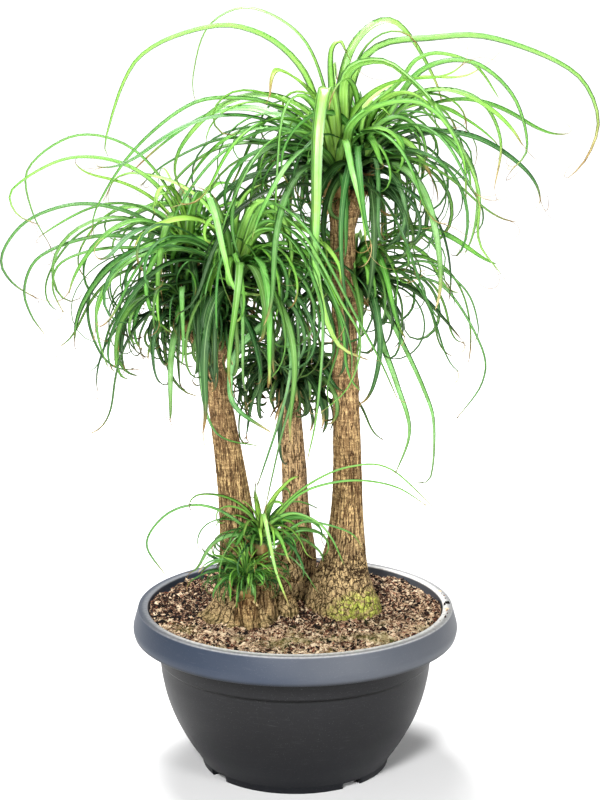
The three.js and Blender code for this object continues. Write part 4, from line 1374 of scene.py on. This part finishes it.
def outOfBounds(line):
    # true for a leaf that would lie on the mix or the rim or rise over the plant's top
    out = np.hypot(line[:, 0], line[:, 1])
    lowest = np.where(out < 0.85 * pot["rimRadius"], leafRule["lowest"], leafRule["lowestOutside"])
    return bool(((line[:, 2] < lowest) | (line[:, 2] > leafRule["tallest"])).any())


def growLeaves():
    # large leaves first, then the heads take turns, leaf by leaf; a leaf that meets another is
    # drawn again
    crowd = Crowd()
    gap = leafRule["gap"] / 2
    for t in trunks.values():
        lobes = (t["lobes"], t["lobeCount"], t["lobeTurn"])
        rings = stationRings(t["stations"], leafRule["trunkSides"], gap, *lobes)
        crowd.add("wood", hullOf(rings))
    for _, stations in stems:
        crowd.add("wood", hullOf(stationRings(stations, leafRule["stemSides"], gap)))
    for name, head in heads.items():
        crowd.add(name, hullOf(coreRings(head, gap)))
    grown = {name: [] for name in heads}

    def place(name, tried, number):
        # the first try that is within bounds and meets nothing stays
        for attempt in range(leafRule["tries"]):
            leaf, line = tried(name, number, attempt)
            if outOfBounds(line):
                continue
            tangent, across = framesAlong(line, leaf["roll"], leaf.get("twist", 0))
            hull = hullOf(*bladeRings(line, tangent, across, leaf["width"], gap))
            if not crowd.meets(name, hull, line[0]):
                grown[name].append({**leaf, "line": line, "tangent": tangent, "across": across})
                crowd.add(name, hull)
                return

    def routed(name, number, attempt):
        row = largeLeaves[name][number]
        shape = {"width": row[0], "roll": row[2], "rank": 0.55, "large": True}
        return shape, routeLine(heads[name], row, number, attempt)

    def ruled(name, index, attempt):
        leaf = drawLeaf(heads[name], index, attempt)
        return leaf, arcLine(heads[name], leaf)

    for name, rows in largeLeaves.items():
        for number in range(len(rows)):
            place(name, routed, number)
    for index in range(max(head["leaves"] for head in heads.values())):
        for name, head in heads.items():
            if index < head["leaves"]:
                place(name, ruled, index)
    return grown


grown = growLeaves()
print("leaves placed:", {name: len(leaves) for name, leaves in grown.items()})


# Leaves' finer form

blade = {
    "crossShares": (-1, -0.5, 0, 0.5, 1),
    "channel": 0.42,  # rise of the edges over the middle, as a share of the half width
    "channelCurve": 1.6,
    "thickness": 0.75,
    "rootWiden": 0.55,  # a leaf's clasping foot is this much wider
    "rootFold": 1.8,  # and its channel this much deeper
    "threadWidth": 0.35,  # near the very tip
    "rings": 37,
    "seed": 90,
}

inner = {
    "share": 1.9,  # more leaves by the same rule, as a share of a head's own
    "seedShift": 40,
    "rings": 22,
    "bend": (-35, 40),  # degrees added to the rule's
    "leastCurl": 40,
    "hooked": 0.52,
    "drift": 1.6,
}

threads = {
    "share": 1.3,  # dry curled tips, as a share of a head's leaves
    "length": (0.08, 0.26),  # as shares of the head's longest leaf
    "width": (0.9, 1.5),
    "turn": (1.5, 5.0),  # radians
    "rings": 20,
    "dry": 3.0,
}

scales = {
    "count": 18,  # dry leaf bases under a head
    "rise": (-25, 10),
    "bend": (30, 75),
    "length": (1.2, 2.6),  # as shares of the core's radius
    "width": (0.3, 0.6),
    "dry": 2.0,
}

bud = {
    "sides": 40,
    "folds": 9,
    "form": ((0, 0.86), (0.12, 1.0), (0.35, 1.0), (0.6, 0.8), (0.85, 0.5), (1.0, 0.15)),
    "dry": 2.7,
}

# How heads differ: all their leaves darker by shade, and of the thin ones this many times more,
# their widths and lengths as shares of the rule's, raised by some degrees, curling more and bare
# of them so many degrees to both sides of the front
finer = {
    "plain": {"shade": 0, "more": 1, "wide": (0.35, 0.85), "long": (0.45, 1.0), "lift": 0,
              "curlier": 1.8, "bare": 0},
    "tall_main": {"more": 1.6, "wide": (0.4, 0.95), "bare": 45},
    "tall_side": {"more": 1.2},
    "tall_back": {"more": 1.7, "shade": 0.08},
    "left_main": {"more": 1.7, "wide": (0.4, 0.95)},
    "left_back": {"more": 1.2, "shade": 0.02},
    "left_low": {"more": 1.8, "shade": 0.2},
    "left_inner": {"more": 3.5, "shade": 0.35, "wide": (0.5, 0.9), "lift": 15},
    "middle": {"more": 2.7, "shade": 0.6, "wide": (0.6, 1.05), "lift": 20},
    "offset_large": {"more": 1.5, "shade": -0.15, "wide": (0.4, 0.9), "lift": 20},
    "offset_small": {"more": 3.2, "shade": -0.08, "wide": (0.3, 0.75), "long": (0.5, 1.1), "lift": 38,
                     "curlier": 2.6},
}


def bladeMesh(lines, tangents, acrosses, widths, looks, thread=False):
    # Each ring is a shallow channel: five points over the top and one below the middle. The upper
    # height is channel times half the width times the share across to the 1.6th power; the lower
    # point lies a thickness below the middle, less towards the tip. A thread has three points over
    # the top and no clasping foot.
    count, rings = lines.shape[:2]
    share = np.linspace(0, 1, rings)[None, :]
    if thread:
        taper = (1 - share) ** 0.6
        foot = 0
        fold = blade["channel"]
        top = np.array([-1, 0, 1], float)
    else:
        taper = leafTaper(share)
        foot = blade["rootWiden"] * (1 - ease(share / 0.09))
        fold = blade["channel"] * (1 + blade["rootFold"] * (1 - ease(share / 0.12)))
        top = np.array(blade["crossShares"], float)
    half = 0.5 * widths[:, None] * taper * (1 + foot)
    half = np.maximum(half, 0.5 * blade["threadWidth"] * (1 - 0.9 * share**6))
    across = np.concatenate([top, [0]])
    under = np.concatenate([0 * top, [1]])
    thick = np.minimum(blade["thickness"], 0.5 * half)[..., None]
    rise = (fold * half)[..., None] * np.abs(across) ** blade["channelCurve"]
    sideways = acrosses[:, :, None] * (half[..., None] * across)[..., None]
    upward = np.cross(tangents, acrosses)[:, :, None] * (rise - thick * under)[..., None]
    vertices = lines[:, :, None] + sideways + upward
    quads, fans = tubeFaces(rings, len(across), count)
    whole = np.ones((count, rings, len(across)))
    attributes = {
        "along": whole * share[..., None],
        "across": whole * across,
        "under": whole * under,
    }
    for key, values in looks.items():
        attributes[key] = whole * np.reshape(values, (count, -1, 1))
    return vertices.reshape(-1, 3), quads[:, ::-1], fans[:, ::-1], attributes


def resampled(lines, rings):
    # lines of evenly spaced points with another number of points
    place = np.linspace(0, lines.shape[1] - 1, rings)
    k = np.minimum(place.astype(int), lines.shape[1] - 2)
    t = (place - k)[None, :, None]
    return lines[:, k] * (1 - t) + lines[:, k + 1] * t


def settled(lines, rolls, twists):
    # framesAlong for many leaves at once
    ahead = np.concatenate([lines[:, 1:], lines[:, -1:]], 1)
    behind = np.concatenate([lines[:, :1], lines[:, :-1]], 1)
    tangent = unit(ahead - behind)
    across = np.empty_like(tangent)
    first = tangent[:, 0]
    last = unit(np.stack([-first[:, 1], first[:, 0], 0 * first[:, 0]], -1))
    for k in range(lines.shape[1]):
        last = unit(last - tangent[:, k] * np.sum(last * tangent[:, k], -1, keepdims=True))
        across[:, k] = last
    share = np.linspace(0, 1, lines.shape[1])
    angle = np.radians(rolls[:, None] + twists[:, None] * share)[..., None]
    return tangent, across * np.cos(angle) + np.cross(tangent, across) * np.sin(angle)


def curls(starts, directions, lengths, rng):
    # threads that go on from a point in a direction and curl up ever tighter in one plane
    count = len(starts)
    rings = threads["rings"]
    side = unit(np.cross(directions, rng.normal(size=(count, 3))))
    share = np.linspace(0, 1, rings)[None, :]
    turn = rng.uniform(*threads["turn"], (count, 1)) * share**1.5 * rng.choice([-1, 1], (count, 1))
    turn = turn[..., None]
    step = (lengths / rings)[:, None, None]
    moves = step * (directions[:, None] * np.cos(turn) + side[:, None] * np.sin(turn))
    return starts[:, None] + np.cumsum(moves, 1) - moves[:, :1]


def ageOf(leaf):
    # 0 for a young upright leaf to 1 for an old low one; a large leaf's age is read off its rise
    if not leaf.get("large"):
        return 1 - leaf["rank"]
    x, y, z = leaf["line"][steps // 5] - leaf["line"][0]
    rise = math.degrees(math.atan2(z, math.hypot(x, 0.35 * y)))
    return between(0.09, 0.58, clamp01((80 - rise) / 34))


def gathered(leaves, key):
    # one value of every leaf, as an array
    return np.array([leaf[key] for leaf in leaves], float)


def ownLeaves(leaves, shade, rng):
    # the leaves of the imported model
    rings = blade["rings"]
    lines = resampled(gathered(leaves, "line"), rings)
    tangents = unit(resampled(gathered(leaves, "tangent"), rings))
    acrosses = unit(resampled(gathered(leaves, "across"), rings))
    tone = rng.random(len(leaves))
    large = np.array([leaf.get("large", False) for leaf in leaves])
    # the head's shade is added to each leaf's age, darkening it as painted shade
    looks = {
        "age": [ageOf(leaf) + shade for leaf in leaves],
        "tone": np.where(large, 0.75 + 0.25 * tone, 0.7 * tone),
        "dry": rng.random(len(leaves)) ** 2,
    }
    return bladeMesh(lines, tangents, acrosses, gathered(leaves, "width"), looks)


def innerLeaves(head, look, rng):
    # more leaves by the same rule, thinner, shorter and more curled
    fine = []
    count = round(head["leaves"] * inner["share"] * look["more"])
    seed = head["seed"] + inner["seedShift"]
    other = {**head, "seed": seed, "leaves": count, "lift": look["lift"]}
    for index in range(count):
        leaf = drawLeaf(other, index, 0)
        leaf["length"] *= rng.uniform(*look["long"])
        leaf["width"] *= rng.uniform(*look["wide"])
        leaf["bend"] += rng.uniform(*inner["bend"])
        leaf["curl"] = inner["leastCurl"] + abs(leaf["curl"]) * look["curlier"]
        leaf["hooked"] = inner["hooked"]
        leaf["drift"] *= inner["drift"]
        line = arcLine(head, leaf)
        aside = abs((leaf["heading"] + 90 + 180) % 360 - 180)
        if aside > look["bare"] and not outOfBounds(line):
            fine.append({**leaf, "line": line})
    lines = resampled(gathered(fine, "line"), inner["rings"])
    tangents, acrosses = settled(lines, gathered(fine, "roll"), gathered(fine, "twist"))
    # the head's shade is added to each leaf's age, darkening it as painted shade
    looks = {
        "age": 1.1 - gathered(fine, "rank") + look["shade"],
        "tone": 0.7 * rng.random(len(fine)),
        "dry": rng.random(len(fine)),
    }
    return bladeMesh(lines, tangents, acrosses, gathered(fine, "width"), looks)


def dryLooks(count, dry, rng):
    # old and dry, each of its own tone
    return {"age": np.ones(count), "tone": rng.random(count), "dry": np.full(count, dry)}


def dryThreads(head, leaves, rng):
    # thin dry threads that curl on from some tips
    picks = rng.choice(len(leaves), round(len(leaves) * threads["share"]))
    starts = gathered(leaves, "line")[picks, -3]
    ways = gathered(leaves, "tangent")[picks, -3]
    lengths = rng.uniform(*threads["length"], len(picks)) * head["length"][1]
    lines = curls(starts, ways, lengths, rng)
    inside = (lines > np.array(cadLow) / mm - 4) & (lines < np.array(cadHigh) / mm + 4)
    lines = lines[inside.all((1, 2))]
    count = len(lines)
    tangents, acrosses = settled(lines, np.zeros(count), np.zeros(count))
    looks = dryLooks(count, threads["dry"], rng)
    widths = rng.uniform(*threads["width"], count)
    return bladeMesh(lines, tangents, acrosses, widths, looks, thread=True)


def dryScales(head, rng):
    # the dry leaf bases under a head
    radius = head["core"][0]
    count = scales["count"]
    lines = []
    for index in range(count):
        leaf = {"curl": 0, "drift": 0, "rootShare": 0.02}
        leaf["heading"] = index * leafRule["golden"] + 20 * rng.normal()
        leaf["length"] = radius * rng.uniform(*scales["length"])
        leaf["rise"] = rng.uniform(*scales["rise"])
        leaf["bend"] = rng.uniform(*scales["bend"])
        lines.append(arcLine(head, leaf)[::6])
    lines = np.array(lines)
    tangents, acrosses = settled(lines, np.zeros(count), rng.normal(size=count) * 40)
    looks = dryLooks(count, scales["dry"], rng)
    widths = radius * rng.uniform(*scales["width"], count)
    return bladeMesh(lines, tangents, acrosses, widths, looks)


def budMesh(head, shade):
    # packed leaf bases: a round core with upright folds, narrowing to a point
    x, y, z = head["base"]
    radius, height = head["core"]
    high, wide = np.array(bud["form"], float).T[..., None]
    angle = evenAngles(bud["sides"])[None, :]
    reach = radius * wide * (1 + 0.1 * np.cos(bud["folds"] * angle + 4 * high))
    vertices = circled(x, y, z + 0.4 + height * high, reach, angle)
    quads, fans = tubeFaces(len(high), bud["sides"])
    whole = np.ones(reach.shape)
    attributes = {
        "along": whole * 0.25,
        "across": whole * 0.5 * np.sin(bud["folds"] * angle),
        "under": 0 * whole,
        # the head's painted shade is added to the bud's age
        "age": whole * 0.95 + shade,
        "tone": whole * 0.5,
        "dry": bud["dry"] * (1 - high) * whole,
    }
    return vertices.reshape(-1, 3), quads, fans, attributes


def makeHead(name, leaves):
    # a head's leaves, threads, bud and dry scales as one object
    head = heads[name]
    look = {**finer["plain"], **finer[name]}
    rng = np.random.default_rng(blade["seed"] + head["seed"])
    parts = [
        ownLeaves(leaves, look["shade"], rng),
        innerLeaves(head, look, rng),
        dryThreads(head, leaves, rng),
        budMesh(head, look["shade"]),
        dryScales(head, rng),
    ]
    vertices, quads, fans, attributes = joined(parts)
    return makeMesh("leaves_" + name, vertices, quads, fans, **attributes)


leafColours = {
    "ages": {
        0.00: (0.370, 0.630, 0.100),
        0.22: (0.165, 0.440, 0.040),
        0.48: (0.043, 0.215, 0.018),
        0.75: (0.010, 0.085, 0.007),
        1.00: (0.002, 0.028, 0.003),
    },
    "yellower": (0.24, 0.44, 0.06),
    "bluer": (0.010, 0.095, 0.024),
    "rootShade": (0.002, 0.016, 0.003),
    "youngRoot": (0.50, 0.70, 0.15),
    "paintedSheen": (0.290, 0.600, 0.225),
    "under": (0.15, 0.34, 0.06),
    "vein": (0.46, 0.68, 0.34),
    "midrib": (0.50, 0.72, 0.34),
    "edge": (0.012, 0.085, 0.014),
    "straw": {0.35: (0.060, 0.022, 0.010), 0.60: (0.300, 0.170, 0.065), 0.85: (0.560, 0.430, 0.210)},
}


def leafFinish():
    # green by age and by the heads' painted shade, with painted shade on old roots and pale young roots, a
    # painted sheen on sunny tops, undersides paler partly as painted light, veins, a pale midrib, painted
    # shade on the edges and straw at the dry tips
    f = Finish("leaf")
    colours = leafColours
    along, across, under, age, tone, dry = (
        f.attribute(key) for key in ("along", "across", "under", "age", "tone", "dry")
    )
    patchy = f.noise(34, detail=3.0)
    mixed = (tone * 47).math("SINE")
    # painted shade at the roots of old leaves, deep in the head
    rootShade = along.step(0.48, 0.0) * age.step(0.35, 0.85)
    youngRoot = along.step(0.34, 0.05) * age.step(0.55, 0.15)
    streaky = f.noise(90, detail=2.0).step(0.35, 0.6)
    # a painted sheen, pale and bluish, on the tops of the glossy leaves
    top = (1 - under) * along.step(0.10, 0.35) * along.step(0.95, 0.6)
    paintedSheen = top * tone.step(0.45, 0.8) * (0.45 + 0.55 * streaky)
    veins = (across * 26).math("SINE")
    aside = abs(across)
    tip = (along + dry * 0.16).step(0.94, 1.10)
    withered = dry.step(1.2, 1.8)
    straw = f.ramp(f.noise(60) + tone * 0.3, colours["straw"])
    colour = f.painted(
        f.ramp(age + (0.5 - patchy) * 0.45, colours["ages"]),
        (mixed.step(0.3, 0.9) * 0.3, colours["yellower"]),
        (mixed.step(-0.3, -0.9) * 0.4, colours["bluer"]),
        (rootShade * 0.9, colours["rootShade"]),
        (youngRoot * 0.7, colours["youngRoot"]),
        (paintedSheen * 0.6, colours["paintedSheen"]),
        # undersides paler: partly their own paler green, partly painted light shining through the leaf
        (under * 0.35, colours["under"]),
        (veins.step(-0.2, 1.0) * 0.22, colours["vein"]),
        (aside.step(0.16, 0.02) * 0.25, colours["midrib"]),
        # painted shade on the edges, where the channel's sides turn from the light
        (aside.step(0.55, 0.95) * 0.45, colours["edge"]),
        (tip * 0.9, straw),
        (withered * 0.9, straw),
    )
    glossy = tone.step(0.6, 0.8)
    roughness = 0.46 + 0.15 * under + 0.3 * withered - 0.2 * glossy
    relief = 0.5 * veins + 0.3 * f.noise(300)
    waxy = (1 - under) * glossy * 0.45
    others = {"Specular IOR Level": 0.3, "Coat Weight": waxy, "Coat Roughness": 0.3}
    return f.surface(colour, roughness, relief, 0.0004, 0.5, others)


leafMaterial = leafFinish()
for headName, leaves in grown.items():
    dress(makeHead(headName, leaves), leafMaterial, "leaf", "head_" + headName)
print("heads made")


# Stage

studio = {
    "floorRadius": 40000,
    "floorSides": 96,
    "floorColours": ((0.86, 0.86, 0.86), (0.88, 0.88, 0.88)),
    "farGlow": 0.85,  # the floor's own light, from a few metres away on
    "worldColour": (1.0, 1.0, 1.0),
    "worldStrength": 0.19,
    "lights": {  # place and target in metres, size in metres and power in watts
        "key": ((-0.75, -2.8, 2.0), (0, 0, 0.45), 0.7, 106),
        "fill": ((2.0, -2.5, 1.3), (0, 0, 0.4), 1.0, 52),
        "overhead": ((-0.3, 0.7, 2.5), (0, 0, 0.6), 1.1, 85),
    },
}


def floorFinish():
    # pale, with a glow of its own farther out, where the lights don't reach
    f = Finish("paleFloor")
    x, y = f.axes(2)
    glow = f.blend((x * x + y * y).step(0.3, 2.2), (0, 0, 0), (1, 1, 1))
    others = {"Emission Color": glow, "Emission Strength": studio["farGlow"]}
    return f.surface(f.blend(f.noise(3), *studio["floorColours"]), 0.6, others=others)


def makeFloor():
    # a wide disc, level with the foot of the bowl
    sides = studio["floorSides"]
    rim = circled(0, 0, 0, studio["floorRadius"], evenAngles(sides))
    vertices = np.concatenate([rim, [[0, 0, 0]]])
    i = np.arange(sides)
    triangles = np.stack([i, (i + 1) % sides, 0 * i + sides], -1)
    floor = makeMesh("floor", vertices, (), triangles)
    floor.data.materials.append(floorFinish())


def makeLight(name, place, target, size, power):
    # a square soft box that faces its target
    data = bpy.data.lights.new(name, "AREA")
    data.size = size
    data.energy = power
    obj = newObject(name, data)
    obj.location = place
    x, y, z = np.array(place) - np.array(target)
    obj.rotation_euler = (math.atan2(math.hypot(x, y), z), 0, math.atan2(y, x) + math.pi / 2)


def makeStudio():
    # an even dim world, three soft boxes and the picture's contrast
    world = bpy.data.worlds.new("studio")
    bpy.context.scene.world = world
    world.use_nodes = True
    background = world.node_tree.nodes["Background"]
    background.inputs["Color"].default_value = (*studio["worldColour"], 1)
    background.inputs["Strength"].default_value = studio["worldStrength"]
    for name, light in studio["lights"].items():
        makeLight(name, *light)
    bpy.context.scene.view_settings.view_transform = "Standard"
    bpy.context.scene.view_settings.look = "Medium High Contrast"


makeFloor()
makeStudio()
print("stage made")
